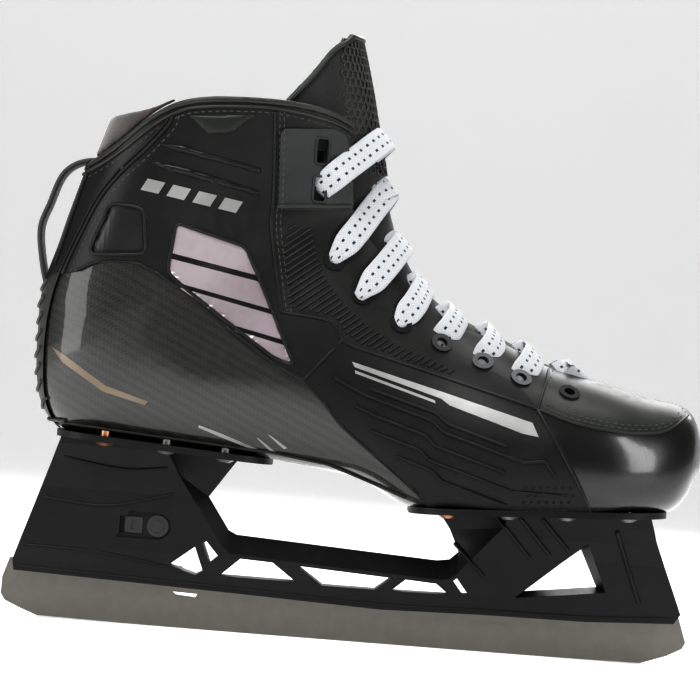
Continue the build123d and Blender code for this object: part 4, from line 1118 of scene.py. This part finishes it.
def lace_piece():
    """All the lace's passes as thin strips, with the lace's own length on their UV map."""
    corners, faces, where = [], [], []
    ties = tie_places()
    passed = 0.0
    for side in SIDES.values():
        for k, (u, angle) in enumerate(ties):
            share = k / (len(ties) - 1)
            edge = EDGE_ANGLES[0] + (EDGE_ANGLES[1] - EDGE_ANGLES[0]) * share
            lean = (u - ties[k - 1][0]) * 0.45 if k else -0.001
            lift = CROSS_LIFT if (k % 2 == 0) == (side < 0) else 0.0
            narrow = 0.85 if k == 0 else 0.40
            clear = TAB_CLEAR if k == 0 else CELL_CLEAR if k < 3 else 0.0
            rows = lace_strip((u, side * (angle + HOLE_TURN)), (u - lean, -side * edge), narrow, lift, clear,
                              1.7 * k + side)
            start = len(corners)
            for row in rows:
                for point, (along, across) in row:
                    corners.append(point)
                    where.append((along + passed, across))
            for r in range(len(rows) - 1):
                for lane in range(LACE_LANES - 1):
                    a = start + r * LACE_LANES + lane
                    quad = (a, a + LACE_LANES, a + LACE_LANES + 1, a + 1)
                    faces.append(quad if side > 0 else quad[::-1])
            passed += rows[-1][0][1][0] + 0.013
    piece = mesh_piece("laces_woven", corners, faces, LACE_COTTON)
    layer = piece.data.uv_layers.new(name="UVMap")
    for loop in piece.data.loops:
        layer.data[loop.index].uv = where[loop.vertex_index]
    thick = piece.modifiers.new("thick", "SOLIDIFY")
    thick.thickness = LACE_THICK * MM
    thick.offset = 0.0
    round_edge = piece.modifiers.new("round_edge", "SUBSURF")
    round_edge.levels = round_edge.render_levels = 1
    realised(piece)
    piece.data.polygons.foreach_set("use_smooth", [True] * len(piece.data.polygons))
    return piece


on_boot(lace_piece(), "lace_cotton", "laces")

# ---------------------------------------------------------------- ribs on the blade holder
holder_skin = tree_of(["blade_holder"])
HOLDER_RIBS = (
    [(36.5, 60.5), (62.0, 34.5)], [(66.0, 62.0), (82.0, 44.5)], [(76.0, 62.8), (91.0, 46.5)],
    [(86.0, 63.2), (99.0, 49.5)], [(120.0, 60.0), (133.0, 28.0)],
)
TOWER_LINES = (
    [(-131.0, 74.0), (-104.0, 70.5), (-84.0, 72.5)],
    [(-138.0, 55.0), (-110.0, 53.5), (-80.0, 61.0)],
    [(-146.0, 33.0), (-112.0, 32.0), (-70.0, 26.0)],
)
RAIL_LINE = [(-149.0, 23.0), (-47.5, 20.2), (16.6, 18.2), (61.2, 19.2), (109.6, 19.9), (149.0, 22.0)]
for side_name, side in SIDES.items():
    runs = [run for line in HOLDER_RIBS for run in drape(line, side, curved=False, tree=holder_skin)]
    on_boot(beads(f"holder_ribs_{side_name}", runs, 1.0 * MM, HOLDER), "holder_nylon")
    runs = [run for line in TOWER_LINES + (RAIL_LINE,) for run in drape(line, side, tree=holder_skin)]
    on_boot(beads(f"holder_lines_{side_name}", runs, 0.55 * MM, HOLDER), "holder_nylon")

# ---------------------------------------------------------------- end
for shape in (STITCH_SHAPE, HEX_SHAPE, DIMPLE_SHAPE):
    bpy.data.objects.remove(shape)
studio()
floor_and_backdrop()
